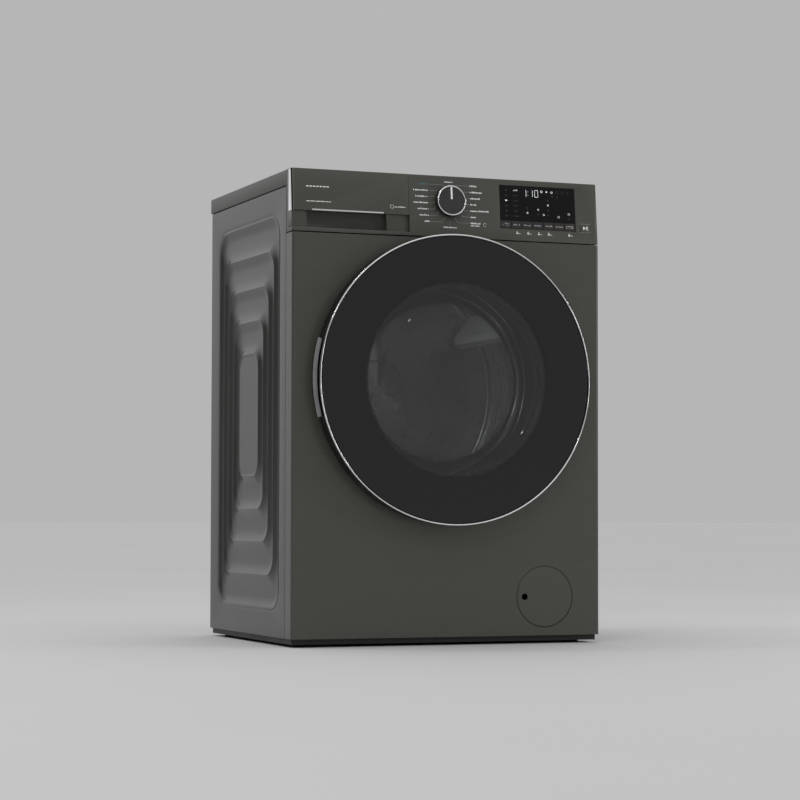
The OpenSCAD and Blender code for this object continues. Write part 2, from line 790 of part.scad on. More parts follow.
module door_bowl() {
    color([0.8, 0.85, 0.85, 0.4]) at_depth(0, door_z, 0) rotate_extrude() difference() {
        polygon(concat([[0, -door_gap - 7], [bowl_r + 10, -door_gap - 7], [bowl_r + 10, -door_gap - 3],
            [bowl_r, -door_gap - 3]], bowl_outline(0)));
        polygon(concat([[-1, -door_gap - 8], [bowl_r - 5, -door_gap - 8]], bowl_outline(5),
            [[-1, bowl_reach - 5]]));
    }
}

module hinge_bracket() {
    color([0.6, 0.6, 0.6]) difference() {
        union() {
            block(hinge_x - 14, hinge_x + 24, sheet_t, sheet_t + 3, door_z - 48, door_z + 48);
            for (s = [-1, 1]) {
                block(hinge_x - 2.5, hinge_x + 2.5, -hinge_front, sheet_t + 1,
                    door_z + s * 30 - 5.5, door_z + s * 30 + 5.5);
                rod_z(hinge_x, -hinge_front, s * 30 - 5.5, s * 30 + 5.5, hinge_pin_r + 2.5);
            }
        }
        rod_z(hinge_x, -hinge_front, -50, 50, hinge_pin_r);
    }
}

module hinge_pin() {
    color([0.75, 0.75, 0.75]) rod_z(hinge_x, -hinge_front, -37, 37, hinge_pin_r);
}

module hinge_leaf() {
    back = -door_gap - 3;
    h = -hinge_front;
    color([0.62, 0.62, 0.62]) translate([0, front_y, door_z - hinge_half + 1]) difference() {
        linear_extrude(2 * hinge_half - 2) difference() {
            union() {
                translate([hinge_x, h]) circle(hinge_pin_r + 2.5);
                translate([hinge_x - 44, h - 1.5]) square([44, 3]);
                translate([hinge_x - 44, h - 1.5]) square([3, back - h + 1.5]);
                translate([hinge_x - 64, back - 3]) square([23, 3]);
            }
            translate([hinge_x, h]) circle(hinge_pin_r + run_gap);
        }
        for (z = [hinge_half - 13, hinge_half + 11]) translate([hinge_x - 54, back + 1, z])
            rotate([90, 0, 0]) cylinder(h = 6, r = 2.2);
    }
}

module door_catch() {
    color([0.75, 0.75, 0.75]) translate([catch_x, front_y, door_z - 6]) linear_extrude(12) union() {
        translate([0, -catch_front]) circle(4);
        translate([-2, -catch_front]) square([4, catch_front + 16]);
        polygon([[-2, 10], [2, 10], [2, 18], [-1, 20], [-8, 12], [-8, 10]]);
    }
}

module door_lock() {
    color([0.15, 0.15, 0.15]) difference() {
        block(catch_x - 26, catch_x + 22, sheet_t, 34, door_z - 38, door_z + 38);
        block(catch_x - 14, catch_x + 10, 0, 28, door_z - 10, door_z + 10);
    }
}

// Rubber bellows from the front panel's rim to the neck of the tub
module door_gasket() {
    n = neck_r;
    color([0.2, 0.2, 0.21]) turned(0, door_z, [[n + 3, -1.2], [n + 12, -1.2], [n + 12, 0], [n + 6.4, 0],
        [n + 6.4, 16], [bowl_r + 22, 20], [bowl_r + 22, 30], [bowl_r + 7, 36], [bowl_r + 7, 42],
        [n + 6, 47], [n + 6, 60], [n + 3 + move_gap, 60], [n + 3 + move_gap, 49], [bowl_r + 4, 43],
        [bowl_r + 4, 34], [bowl_r + 19, 28.5], [bowl_r + 19, 22], [n + 3, 15.5], [bowl_r + 1.2, 9],
        [bowl_r + 1.2, 6], [n + 3, 11]]);
}

// ---- Suspended tub ----

module tub_front() {
    n = neck_r;
    color([0.72, 0.72, 0.7]) turned(0, door_z, [[n, 50], [n + 3, 50], [n + 3, tub_front_d],
        [tub_r, tub_front_d], [tub_r, tub_join_d - 5], [tub_r + 7, tub_join_d - 5], [tub_r + 7, tub_join_d],
        [tub_r - tub_t, tub_join_d], [tub_r - tub_t, tub_front_d + 3], [n, tub_front_d + 3]]);
}

module tub_rear() {
    top_x = [-40, 60];
    color([0.72, 0.72, 0.7]) difference() {
        union() {
            rod_y(0, door_z, tub_join_d, tub_back_d, tub_r);
            rod_y(0, door_z, tub_join_d, tub_join_d + 5, tub_r + 7);
            rod_y(0, door_z, tub_back_d - 3, hub_back_d, bearing_r + 17);
            for (a = [0:45:359]) at_depth(0, door_z, tub_back_d - 1) rotate([0, 0, a])
                translate([bearing_r + 10, -2, 0]) cube([tub_r - bearing_r - 30, 4, 14]);
            block(-80, 80, 165, tub_back_d - 14, door_z - sump_drop, door_z - tub_r + 50);
            for (s = [-1, 1]) {
                block(s > 0 ? motor_r + 2 : -motor_r - 10, s > 0 ? motor_r + 10 : -motor_r - 2,
                    tub_back_d - 80, tub_back_d - 30, motor_z - 12, door_z - sump_drop + 2);
                block(min(s * (spring_x - 50), s * (spring_x + 10)),
                    max(s * (spring_x - 50), s * (spring_x + 10)),
                    spring_d - 12, spring_d + 12, door_z + spring_low - 6, door_z + spring_low);
                for (e = [-13, 8]) damper_ear(s, damper_d + e, 5);
                rod_y(s * damper_head[0], damper_head[1], damper_d - 13, damper_d + 13, 4);
            }
            for (x = top_x) block(x - 15, x + 15, 190, 290, door_z + tub_r - 25, door_z + tub_r + 6);
            translate([inlet_x, front_y + inlet_d, door_z + 150])
                cylinder(h = tub_inlet_z + 12 - move_gap - door_z - 150, r = 17);
            translate([40, front_y + 200, door_z - sump_drop - 13]) cylinder(h = 15, r = 18);
        }
        rod_y(0, door_z, tub_join_d - 1, tub_back_d - 3, tub_r - tub_t);
        block(-77, 77, 168, tub_back_d - 17, door_z - sump_drop + 3, door_z - 150);
        rod_y(0, door_z, tub_back_d - 4, hub_back_d + 1, shaft_r + 1);
        rod_y(0, door_z, tub_back_d - 4, tub_back_d - 3 + bearing_w + 3, bearing_r);
        rod_y(0, door_z, hub_back_d - bearing_w, hub_back_d + 1, bearing_r);
        translate([inlet_x, front_y + inlet_d, door_z]) cylinder(h = 300, r = 14);
        translate([40, front_y + 200, door_z - sump_drop - 14]) cylinder(h = 20, r = 14);
        block(-32, 32, tub_back_d - 18, tub_back_d - 13, door_z - sump_drop + 5, door_z - sump_drop + 21);
    }
}

module damper_ear(s, d, t) {
    block(s * damper_head[0] - 11, s * damper_head[0] + 11, d, d + t, damper_head[1], damper_head[1] + 22);
    rod_y(s * damper_head[0], damper_head[1], d, d + t, 11);
}

// Iron weights: a split ring on the front of the tub and a block on its top
module counterweights() {
    color([0.3, 0.3, 0.31]) union() {
        difference() {
            tube_y(0, door_z, tub_front_d - 14, tub_front_d, tub_r - 14, neck_r + 22);
            block(-300, 300, 0, 100, door_z - 32, door_z + 32);
        }
        block(-60, 80, 180, 300, door_z + tub_r + 6, door_z + tub_r + 48);
    }
}

module heater() {
    z = door_z - sump_drop + 13;
    d0 = 185;
    d1 = tub_back_d - 17;
    color([0.6, 0.6, 0.58]) union() {
        for (x = [-22, 22]) rod_y(x, z, d0 + 22, d1 + 24, 3.5);
        translate([0, front_y + d0 + 22, z]) rotate([0, 0, 180]) rotate_extrude(angle = 180)
            translate([22, 0]) circle(3.5);
        block(-32, 32, d1 - 1, d1 + 8, z - 8, z + 8);
    }
}

module bearings() {
    d0 = tub_back_d;
    color([0.7, 0.7, 0.72]) for (d = [d0, hub_back_d - bearing_w])
        tube_y(0, door_z, d, d + bearing_w, bearing_r, shaft_r + run_gap);
}

module motor_housing() {
    color([0.35, 0.36, 0.38]) difference() {
        union() {
            rod_y(0, motor_z, tub_back_d - 100, hub_back_d - 14, motor_r);
            rod_y(0, motor_z, hub_back_d - 15, hub_back_d - 6, 16);
            block(-motor_r - 2, motor_r + 2, tub_back_d - 76, tub_back_d - 34, motor_z - 8, motor_z + 8);
        }
        rod_y(0, motor_z, tub_back_d - 60, hub_back_d, 5 + run_gap);
    }
}

module motor_shaft() {
    color([0.7, 0.7, 0.7]) union() {
        rod_y(0, motor_z, tub_back_d - 59, pulley_d + 20, 5);
        rod_y(0, motor_z, pulley_d, pulley_d + 16, motor_pulley_r);
        rod_y(0, motor_z, pulley_d - 2, pulley_d + eps, motor_pulley_r + 2);
        rod_y(0, motor_z, pulley_d + 16 - eps, pulley_d + 18, motor_pulley_r + 2);
    }
}

// Flat ribbed belt: an arc round each pulley and two straight runs along their common tangents
module drive_belt() {
    r1 = pulley_r + run_gap;
    r2 = motor_pulley_r + run_gap;
    lean = asin((r1 - r2) / motor_drop);
    run = motor_drop * cos(lean);
    color([0.08, 0.08, 0.08]) at_depth(0, door_z, pulley_d + 1) linear_extrude(belt_w) union() {
        belt_arc(0, r1, 180 - lean, 360 + lean);
        belt_arc(motor_drop, r2, lean, 180 - lean);
        for (s = [0, 1]) mirror([s, 0]) intersection() {
            rotate(lean) translate([r1, 0]) square([belt_t, run]);
            translate([0, -run]) square(3 * run);
        }
    }
}

module belt_arc(y, r, a0, a1) {
    translate([0, y]) difference() {
        circle(r + belt_t);
        circle(r);
        far = 4 * r;
        mid = (a0 + a1) / 2;
        half = (a1 - a0) / 2;
        polygon(concat([[0, 0]], [for (i = [0:6]) let (a = mid + half + i * (360 - 2 * half) / 6)
            [far * cos(a), far * sin(a)]]));
    }
}

module drum_shell() {
    t = sheet_t;
    f = drum_front_d;
    mouth = bowl_r + 1;
    color([0.75, 0.76, 0.77]) turned(0, door_z, [[mouth, f - 8], [mouth + t, f - 8], [mouth + t, f],
        [drum_r - 6, f], [drum_r, f + 6], [drum_r, drum_back_d - 6], [drum_r - 6, drum_back_d],
        [0, drum_back_d], [0, drum_back_d - t], [drum_r - 6, drum_back_d - t], [drum_r - t, drum_back_d - 6],
        [drum_r - t, f + 6], [drum_r - 6, f + t], [mouth, f + t]]);
}

module drum_lifters() {
    top = drum_r - sheet_t;
    color([0.6, 0.61, 0.62]) for (a = [90, 210, 330])
        at_depth(0, door_z, drum_front_d + 22) rotate([0, 0, a - 90]) linear_extrude(drum_d - 44)
            intersection() {
                circle(top);
                polygon([[-36, top + 5], [-30, top - 12], [-12, top - 52], [0, top - 57], [12, top - 52],
                    [30, top - 12], [36, top + 5]]);
            }
}

module drum_spider() {
    color([0.6, 0.6, 0.61]) union() {
        for (a = [90, 210, 330]) at_depth(0, door_z, drum_back_d) rotate([0, 0, a - 90])
            translate([-14, 10, 0]) cube([28, drum_r - 22, 13]);
        rod_y(0, door_z, drum_back_d, tub_back_d - 4, 30);
        rod_y(0, door_z, drum_back_d + 1, pulley_d + 18, shaft_r);
    }
}

module drum_pulley() {
    r = pulley_r;
    color([0.65, 0.65, 0.66]) difference() {
        union() {
            tube_y(0, door_z, pulley_d, pulley_d + 16, r, r - 7);
            rod_y(0, door_z, pulley_d, pulley_d + 22, 26);
            for (a = [0:60:359]) at_depth(0, door_z, pulley_d + 4) rotate([0, 0, a])
                translate([20, -9, 0]) cube([r - 24, 18, 8]);
        }
        rod_y(0, door_z, pulley_d - 1, pulley_d + 18, shaft_r);
    }
}

// Helical springs hang straight down from the top frame to the tub's ears
function spring_path() = let (z0 = door_z + spring_low, h = hanger_z - z0 - 8, n = 96)
    concat([[spring_x, front_y + spring_d, z0]],
    [for (i = [0:n]) let (t = i / n, swell = min(1, min(t, 1 - t) * 14), a = t * 360 * 9)
        [spring_x + spring_r * swell * cos(a), front_y + spring_d + spring_r * swell * sin(a),
            z0 + 4 + h * t]],
    [[spring_x, front_y + spring_d, hanger_z]]);

module suspension_springs() {
    color([0.5, 0.5, 0.5]) {
        swept_tube(spring_path(), wire_r, 6, [0.05, 0, 1]);
        mirror([1, 0, 0]) swept_tube(spring_path(), wire_r, 6, [0.05, 0, 1]);
    }
}

// Friction dampers: a cylinder on the base and a rod on the tub
module damper_frame(s, p) {
    translate([s * p[0], front_y + damper_d, p[1]]) rotate([0, -s * damper_tilt, 0]) children();
}

module damper_cylinder(s) {
    color([0.2, 0.2, 0.2]) damper_frame(s, damper_foot) difference() {
        union() {
            rotate([90, 0, 0]) cylinder(h = 14, r = 9, center = true);
            translate([0, 0, 4]) cylinder(h = damper_len * 0.58, r = 13);
        }
        rotate([90, 0, 0]) cylinder(h = 40, r = 4 + run_gap, center = true);
        translate([0, 0, 14]) cylinder(h = damper_len, r = 9.2);
        for (e = [-1, 1]) translate([-20, e > 0 ? 7 : -27, -20]) cube([40, 20, 33]);
    }
}

module damper_rod(s) {
    color([0.75, 0.75, 0.75]) damper_frame(s, damper_head) difference() {
        union() {
            rotate([90, 0, 0]) cylinder(h = 14, r = 9, center = true);
            translate([0, 0, -damper_len * 0.72]) cylinder(h = damper_len * 0.72 - 4, r = 8);
        }
        rotate([90, 0, 0]) cylinder(h = 40, r = 4 + run_gap, center = true);
    }
}

module damper_cylinder_left() {
    damper_cylinder(-1);
}

module damper_cylinder_right() {
    damper_cylinder(1);
}

module damper_rod_left() {
    damper_rod(-1);
}

module damper_rod_right() {
    damper_rod(1);
}

base_tray();
left_panel();
right_panel();
rear_panel();
rear_cover();
cabinet_screws();
front_panel();
worktop();
top_frame();
fascia();
display_glass();
control_board();
dispenser_housing();
inlet_valve();
drain_pump();
drain_pipe();
filter_well();
door_lock();
hinge_bracket();
hinge_pin();
mains_gland();
dispenser_hose();
sump_hose();
door_gasket();
suspension_springs();
door_frame();
door_ring();
door_glass();
window_shroud();
door_bowl();
hinge_leaf();
door_grip();
door_catch();
drawer_tray();
drawer_front();
drawer_trim();
knob();
start_key();
filter_cover();
pump_filter();
foot_front_left();
foot_front_right();
foot_rear_left();
foot_rear_right();
tub_front();
tub_rear();
counterweights();
heater();
bearings();
motor_housing();
drive_belt();
drum_shell();
drum_lifters();
drum_spider();
drum_pulley();
motor_shaft();
damper_cylinder_left();
damper_cylinder_right();
damper_rod_left();
damper_rod_right();
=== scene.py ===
import math
import random
import bmesh
import bpy
from mathutils import Matrix, Vector


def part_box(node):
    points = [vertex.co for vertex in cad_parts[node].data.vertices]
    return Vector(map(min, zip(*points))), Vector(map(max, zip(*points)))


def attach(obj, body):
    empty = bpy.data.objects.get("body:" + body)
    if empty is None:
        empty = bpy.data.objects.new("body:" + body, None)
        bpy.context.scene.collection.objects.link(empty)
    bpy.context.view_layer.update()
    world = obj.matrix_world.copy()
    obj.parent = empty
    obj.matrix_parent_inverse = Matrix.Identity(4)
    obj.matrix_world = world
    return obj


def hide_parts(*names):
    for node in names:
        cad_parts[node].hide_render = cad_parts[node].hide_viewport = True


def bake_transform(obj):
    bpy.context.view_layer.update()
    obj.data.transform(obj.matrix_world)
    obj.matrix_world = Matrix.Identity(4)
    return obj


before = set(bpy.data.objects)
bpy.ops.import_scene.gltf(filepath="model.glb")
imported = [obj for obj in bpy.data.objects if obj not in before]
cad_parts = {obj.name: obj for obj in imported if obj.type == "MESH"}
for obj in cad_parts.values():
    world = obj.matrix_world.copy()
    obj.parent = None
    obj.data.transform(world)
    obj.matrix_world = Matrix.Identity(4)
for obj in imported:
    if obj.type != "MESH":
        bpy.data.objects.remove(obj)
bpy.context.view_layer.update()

# ---- Places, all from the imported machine, in metres ----

MM = 0.001
FRONT_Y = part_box("front_panel")[0].y
HALF_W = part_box("front_panel")[1].x
SIDE_LOW, SIDE_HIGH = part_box("left_panel")
RING_LOW, RING_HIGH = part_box("door_ring")
DOOR_Z = (RING_LOW.z + RING_HIGH.z) / 2
DOOR_R = (RING_HIGH.z - RING_LOW.z) / 2
GLASS_LOW, GLASS_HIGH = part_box("door_glass")
GLASS_R = (GLASS_HIGH.z - GLASS_LOW.z) / 2
FASCIA_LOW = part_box("fascia")[0]
DISPLAY_LOW, DISPLAY_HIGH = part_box("display_glass")
KNOB_LOW, KNOB_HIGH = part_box("knob")
KEY_LOW, KEY_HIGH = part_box("start_key")
DRUM_LOW, DRUM_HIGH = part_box("drum_shell")
DRUM_R = (DRUM_HIGH.z - DRUM_LOW.z) / 2
SPRING_LOW, SPRING_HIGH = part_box("suspension_springs")
HOSE_LOW, HOSE_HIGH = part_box("dispenser_hose")
SUMP_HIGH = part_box("sump_hose")[1]
BOWL_FLANGE = 10  # mm that the bowl's flange stands past its wall
BOWL_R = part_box("door_bowl")[1].x / MM - BOWL_FLANGE  # mm
NECK_R = BOWL_R + 15  # mm, the tub's neck that the gasket grips
LEAN = math.radians(5.3)  # the control panel's lean


def deep(mm):
    """The y of a place that many millimetres behind the front panel's face."""
    return FRONT_Y + mm * MM


# ---- Finishes ----

def linear(code):
    """An sRGB hex value as linear red, green, blue and alpha."""
    parts = [int(code[i:i + 2], 16) / 255 for i in (0, 2, 4)]
    return tuple(p / 12.92 if p <= 0.04045 else ((p + 0.055) / 1.055) ** 2.4 for p in parts) + (1.0,)


def add(tree, kind, settings=(), links=()):
    """Adds one shader node, with its settings and the links into it. "stops" are a colour ramp's
    (place, hex) pairs."""
    made = tree.nodes.new("ShaderNode" + kind)
    for key, value in dict(settings).items():
        if key == "stops":
            for stop, (place, code) in zip(made.color_ramp.elements, value):
                stop.position = place
                stop.color = linear(code)
        elif isinstance(key, str) and hasattr(made, key):
            setattr(made, key, value)
        else:
            made.inputs[key].default_value = value
    for key, (source, output) in dict(links).items():
        tree.links.new(source.outputs[output], made.inputs[key])
    return made


def grain(tree, size_mm, stretch=(1, 1, 1), fineness=3.0):
    """A pattern of grains of that size, drawn out along the axes whose stretch is small."""
    places = add(tree, "TexCoord")
    laid = add(tree, "Mapping", {"Scale": stretch}, {"Vector": (places, "Object")})
    return add(tree, "TexNoise", {"Scale": 1 / (size_mm * MM), "Detail": fineness, "Roughness": 0.55},
               {"Vector": (laid, "Vector")})


def blank(name):
    made = bpy.data.materials.new(name)
    made.use_nodes = True
    made.node_tree.nodes.clear()
    return made, made.node_tree


def coated(tree, tone, shine, rough, grit, grit_high_mm, sockets=()):
    """Closes a finish from its colour, a gloss that is uneven as shine is, and a relief of fine grit."""
    gloss = add(tree, "MapRange", {"From Min": 0.3, "From Max": 0.7, "To Min": rough[0], "To Max": rough[1]},
                {"Value": shine})
    bumps = add(tree, "Bump", {"Strength": 1.0, "Distance": grit_high_mm * MM}, {"Height": (grit, "Fac")})
    shader = add(tree, "BsdfPrincipled", sockets,
                 {"Base Color": (tone, "Color"), "Roughness": (gloss, "Result"), "Normal": (bumps, "Normal")})
    add(tree, "OutputMaterial", links={"Surface": (shader, "BSDF")})


def mottled(name, dark, light, rough, blotch_mm=40.0, grit_mm=0.8, grit_high_mm=0.01, stretch=(1, 1, 1),
            sockets=()):
    """Two close tones in soft blotches, an uneven gloss, and a relief of fine grit."""
    made, tree = blank(name)
    blotch = grain(tree, blotch_mm, stretch)
    grit = grain(tree, grit_mm, stretch, 2.0)
    tone = add(tree, "ValToRGB", {"stops": ((0.35, dark), (0.65, light))}, {"Fac": (blotch, "Fac")})
    coated(tree, tone, (blotch, "Fac"), rough, grit, grit_high_mm, sockets)
    return made


METAL = {"Metallic": 1.0}


def coated_steel():
    """Coil-coated sheet steel, satin. The paint has a faint orange peel of 3 mm waves. It is coloured olive
    on the front and plain grey where it faces sideways: the grey is painted sheen, standing in for the
    grazing reflection the same paint shows there."""
    made, tree = blank("coated_steel_satin_sheen_painted")
    places = add(tree, "TexCoord")
    cloud = grain(tree, 120.0, fineness=1.0)
    peel = grain(tree, 3.0, fineness=1.5)
    facing = add(tree, "SeparateXYZ", links={"Vector": (places, "Normal")})
    slant = add(tree, "Math", {"operation": "ABSOLUTE"}, {0: (facing, "X")})
    # painted sheen: the tone turns from olive to grey as the face turns sideways, standing in for a grazing
    # reflection
    tone = add(tree, "ValToRGB", {"stops": ((0.2, "4B4C44"), (0.9, "545452"))}, {"Fac": (slant, "Value")})
    coated(tree, tone, (cloud, "Fac"), (0.25, 0.3), peel, 0.008)
    return made


def spangled_zinc():
    """Hot-dip galvanised sheet: crystals about 9 mm across, each a little brighter or duller."""
    made, tree = blank("galvanised_sheet_spangle")
    places = add(tree, "TexCoord")
    crystals = add(tree, "TexVoronoi", {"Scale": 1 / (9 * MM)}, {"Vector": (places, "Object")})
    dust = grain(tree, 30.0)
    tone = add(tree, "ValToRGB", {"stops": ((0.1, "8B8F92"), (0.9, "A9ADB0"))}, {"Fac": (crystals, "Color")})
    coated(tree, tone, (crystals, "Color"), (0.38, 0.5), dust, 0.02, METAL)
    return made


PRINT_FADE = 6  # mm over which the printed border's dots thin out
GLASS_IOR = 1.5


def pane(name, tint, gloss=0.02, printed=None):
    """Clear or smoked glass seen through: tinted film and a Fresnel reflection. printed is the radius
    from the door's middle where a black printed border starts."""
    made, tree = blank(name)
    mirror = add(tree, "BsdfGlossy", {"Roughness": gloss, "Color": (1, 1, 1, 1)})
    film = add(tree, "BsdfTransparent", {"Color": linear(tint)})
    edge = add(tree, "Fresnel", {"IOR": GLASS_IOR})
    glass = add(tree, "MixShader", links={"Fac": (edge, "Fac"), 1: (film, "BSDF"), 2: (mirror, "BSDF")})
    if printed is None:
        add(tree, "OutputMaterial", links={"Surface": (glass, "Shader")})
        return made
    places = add(tree, "TexCoord")
    wipe = grain(tree, 60.0)
    centred = add(tree, "VectorMath", {"operation": "SUBTRACT", 1: (0, 0, DOOR_Z)}, {0: (places, "Object")})
    flat = add(tree, "VectorMath", {"operation": "MULTIPLY", 1: (1, 0, 1)}, {0: (centred, "Vector")})
    reach = add(tree, "VectorMath", {"operation": "LENGTH"}, {0: (flat, "Vector")})
    fade = PRINT_FADE / 2 * MM
    border = add(tree, "MapRange", {"From Min": printed - fade, "From Max": printed + fade},
                 {"Value": (reach, "Value")})
    smear = add(tree, "MapRange", {"From Min": 0.3, "From Max": 0.7, "To Min": 0.05, "To Max": 0.09},
                {"Value": (wipe, "Fac")})
    print_coat = add(tree, "BsdfPrincipled", {"Base Color": linear("101011"), "IOR": GLASS_IOR},
                     {"Roughness": (smear, "Result")})
    both = add(tree, "MixShader",
               links={"Fac": (border, "Result"), 1: (glass, "Shader"), 2: (print_coat, "BSDF")})
    add(tree, "OutputMaterial", links={"Surface": (both, "Shader")})
    return made


def circuit_laminate():
    """Green lacquered circuit board with copper tracks 2 mm apart."""
    made, tree = blank("circuit_laminate_green")
    places = add(tree, "TexCoord")
    tracks = add(tree, "TexBrick", {"Color1": linear("1F5A36"), "Color2": linear("1B4E30"),
                                    "Mortar": linear("4E8A5A"), "Scale": 1.0, "Mortar Size": 0.4 * MM,
                                    "Brick Width": 11 * MM, "Row Height": 2 * MM},
                 {"Vector": (places, "Object")})
    lacquer = grain(tree, 4.0)
    bumps = add(tree, "Bump", {"Strength": 1.0, "Distance": 0.02 * MM}, {"Height": (lacquer, "Fac")})
    shader = add(tree, "BsdfPrincipled", {"Roughness": 0.35},
                 {"Base Color": (tracks, "Color"), "Normal": (bumps, "Normal")})
    add(tree, "OutputMaterial", links={"Surface": (shader, "BSDF")})
    return made


GRIP_MID = 104  # mm from the drawer's bright end to the middle of its grip
GRIP_SHADE_HALF = (70, 78)  # mm from there to where the painted shade of the hollow starts to fade and has gone
GRIP_SHADE_FADE = (-4, 1)  # mm from the bright strip's foot to where the painted shade stops and the face starts


def drawer_abs_painted_shade():
    """Moulded and painted ABS of the drawer's face. The hollow under its grip is coloured darker below the
    bright strip: painted shade, standing in for the shade that falls in the hollow."""
    made, tree = blank("drawer_abs_with_painted_shade")
    places = add(tree, "TexCoord")
    where = add(tree, "SeparateXYZ", links={"Vector": (places, "Object")})
    trim_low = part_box("drawer_trim")[0]
    up = add(tree, "MapRange", {"From Min": trim_low.z + GRIP_SHADE_FADE[0] * MM,
                                "From Max": trim_low.z + GRIP_SHADE_FADE[1] * MM}, {"Value": (where, "Z")})
    cloud = grain(tree, 90.0)
    peel = grain(tree, 1.5)
    across = add(tree, "Math", {"operation": "SUBTRACT", 1: trim_low.x + GRIP_MID * MM}, {0: (where, "X")})
    aside = add(tree, "Math", {"operation": "ABSOLUTE"}, {0: (across, "Value")})
    past = add(tree, "MapRange", {"From Min": GRIP_SHADE_HALF[0] * MM, "From Max": GRIP_SHADE_HALF[1] * MM,
                                  "To Min": 0.0, "To Max": 0.85}, {"Value": (aside, "Value")})
    lighter = add(tree, "Math", {"operation": "MAXIMUM"}, {0: (up, "Result"), 1: (past, "Result")})
    # painted shade: dark 292A22 in the hollow under the grip, the face's own tone 4B4C44 elsewhere
    tone = add(tree, "ValToRGB", {"stops": ((0.0, "292A22"), (1.0, "4B4C44"))}, {"Fac": (lighter, "Value")})
    coated(tree, tone, (cloud, "Fac"), (0.3, 0.36), peel, 0.004)
    return made


def ink(name, code, glow=0.0):
    """Screen-printed ink, or a lit segment behind glass when it glows. A faint glow on printed ink is painted
    light.
    """
    made, tree = blank(name)
    flecks = grain(tree, 0.6)
    tone = add(tree, "ValToRGB", {"stops": ((0.35, code), (0.65, code))}, {"Fac": (flecks, "Fac")})
    settings = {"Roughness": 0.5, "Emission Strength": glow}
    if glow:
        settings["Emission Color"] = linear(code)
    shader = add(tree, "BsdfPrincipled", settings, {"Base Color": (tone, "Color")})
    add(tree, "OutputMaterial", links={"Surface": (shader, "BSDF")})
    return made


FINISHES = {
    # Coil-coated sheet steel: even satin with a faint peel, and a painted grey sheen where it faces sideways
    "cabinet_paint": coated_steel(),
    # The same coating on the pressed sides, in plain grey: painted sheen, standing in for the grazing
    # reflection of the olive paint
    "side_paint": mottled("coated_steel_side_sheen_painted", "434342", "474746", (0.22, 0.27), 120.0, 3.0, 0.002),
    # Galvanised sheet, zinc crystals 9 mm across
    "galvanised_steel": spangled_zinc(),
    # Melamine-faced board, finely pebbled
    "worktop_laminate": mottled("melamine_laminate", "4F4F4D", "545452", (0.38, 0.46), 60.0, 1.2, 0.02),
    # Moulded and painted ABS of the control panel, smoother than the sheet steel
    "fascia_plastic": mottled("painted_abs_olive", "4A4B44", "4E4F47", (0.3, 0.36), 90.0, 1.5, 0.004),
    # Moulded ABS of the filter cover
    "cover_plastic": mottled("moulded_abs_olive", "4B4C44", "4E4F47", (0.36, 0.42), 60.0, 0.9, 0.006),
    # Black glass over the display, back-printed
    "display_glass": mottled("display_glass_black", "0B0B0C", "0E0E0F", (0.05, 0.09), 50.0, 20.0, 0.001,
                             sockets={"Specular IOR Level": 0.22}),
    # Smoked glass with a black printed border
    "smoked_glass": pane("smoked_glass_printed", "DBDBDA", 0.03, (BOWL_R + 3) * MM),
    # Pressed soda-lime glass of the bowl
    "clear_glass": pane("pressed_glass_clear", "F4F6F5", 0.01),
    # Chrome-plated ABS: a clear mirror with a slight haze from handling
    "bright_trim": mottled("chromed_abs_mirror", "EBECED", "F2F3F4", (0.06, 0.11), 25.0, 12.0, 0.002,
                           sockets=METAL),
    # Moulded polypropylene, spark-eroded texture
    "black_plastic": mottled("moulded_polypropylene_black", "17181A", "1E1F21", (0.45, 0.58), 30.0, 0.9,
                             0.03),
    # Gloss-moulded ABS of the door's rim
    "door_black": mottled("moulded_abs_black", "111112", "161617", (0.22, 0.3), 50.0, 1.5, 0.006),
    # Soft-touch painted ABS of the knob
    "knob_plastic": mottled("soft_touch_abs_grey", "2B2B2B", "303030", (0.4, 0.5), 12.0, 0.5, 0.008),
    # Lacquered circuit board
    "circuit_board": circuit_laminate(),
    # Moulded white polypropylene of the drawer tray, waxy
    "white_plastic": mottled("moulded_polypropylene_white", "C3C6C8", "CDD0D1", (0.34, 0.44), 60.0, 1.0,
                             0.015, sockets={"Subsurface Weight": 0.05, "Subsurface Scale": 0.004}),
    # Moulded EPDM of the gasket: matt, powdery in places
    "grey_rubber": mottled("epdm_rubber_grey", "4C4E50", "5A5C5E", (0.62, 0.78), 18.0, 0.7, 0.03),
    # Black EPDM hoses and grommets
    "black_rubber": mottled("epdm_rubber_black", "17171A", "232326", (0.58, 0.74), 14.0, 0.7, 0.03),
    # Glass-filled polypropylene of the tub, with a faint flow pattern
    "tub_plastic": mottled("glass_filled_polypropylene", "A9ABA6", "B8BAB4", (0.45, 0.58), 45.0, 1.2, 0.05),
    # Brushed stainless steel: hairlines run round the drum and across the heater
    "stainless_steel": mottled("stainless_steel_brushed", "9C9EA0", "B4B6B8", (0.2, 0.34), 30.0, 0.6, 0.006,
                               stretch=(0.3, 4.0, 0.3), sockets=METAL),
    # Bright zinc-plated steel of screws, rods and springs
    "zinc_steel": mottled("zinc_plated_steel", "9A9DA2", "B9BCC0", (0.24, 0.4), 8.0, 0.5, 0.008,
                          sockets=METAL),
    # Cast iron weights, sand-cast skin
    "weight_iron": mottled("sand_cast_iron", "35363A", "46484B", (0.6, 0.8), 22.0, 1.6, 0.25,
                           sockets={"Metallic": 0.4}),
    # Die-cast aluminium of the spider and the pulley
    "cast_aluminium": mottled("die_cast_aluminium", "97999C", "ABADB0", (0.36, 0.52), 16.0, 1.2, 0.05,
                              sockets=METAL),
    # Painted steel shell of the motor
    "motor_shell": mottled("enamelled_motor_steel", "3B3D40", "4A4C4F", (0.4, 0.52), 20.0, 1.0, 0.02,
                           sockets={"Metallic": 0.5}),
}
# Satin silver paint on the door's grip strip
SATIN_SILVER = mottled("silver_painted_abs", "B4B5B6", "BFC0C1", (0.4, 0.5), 30.0, 0.8, 0.004,
                       sockets={"Metallic": 0.25})
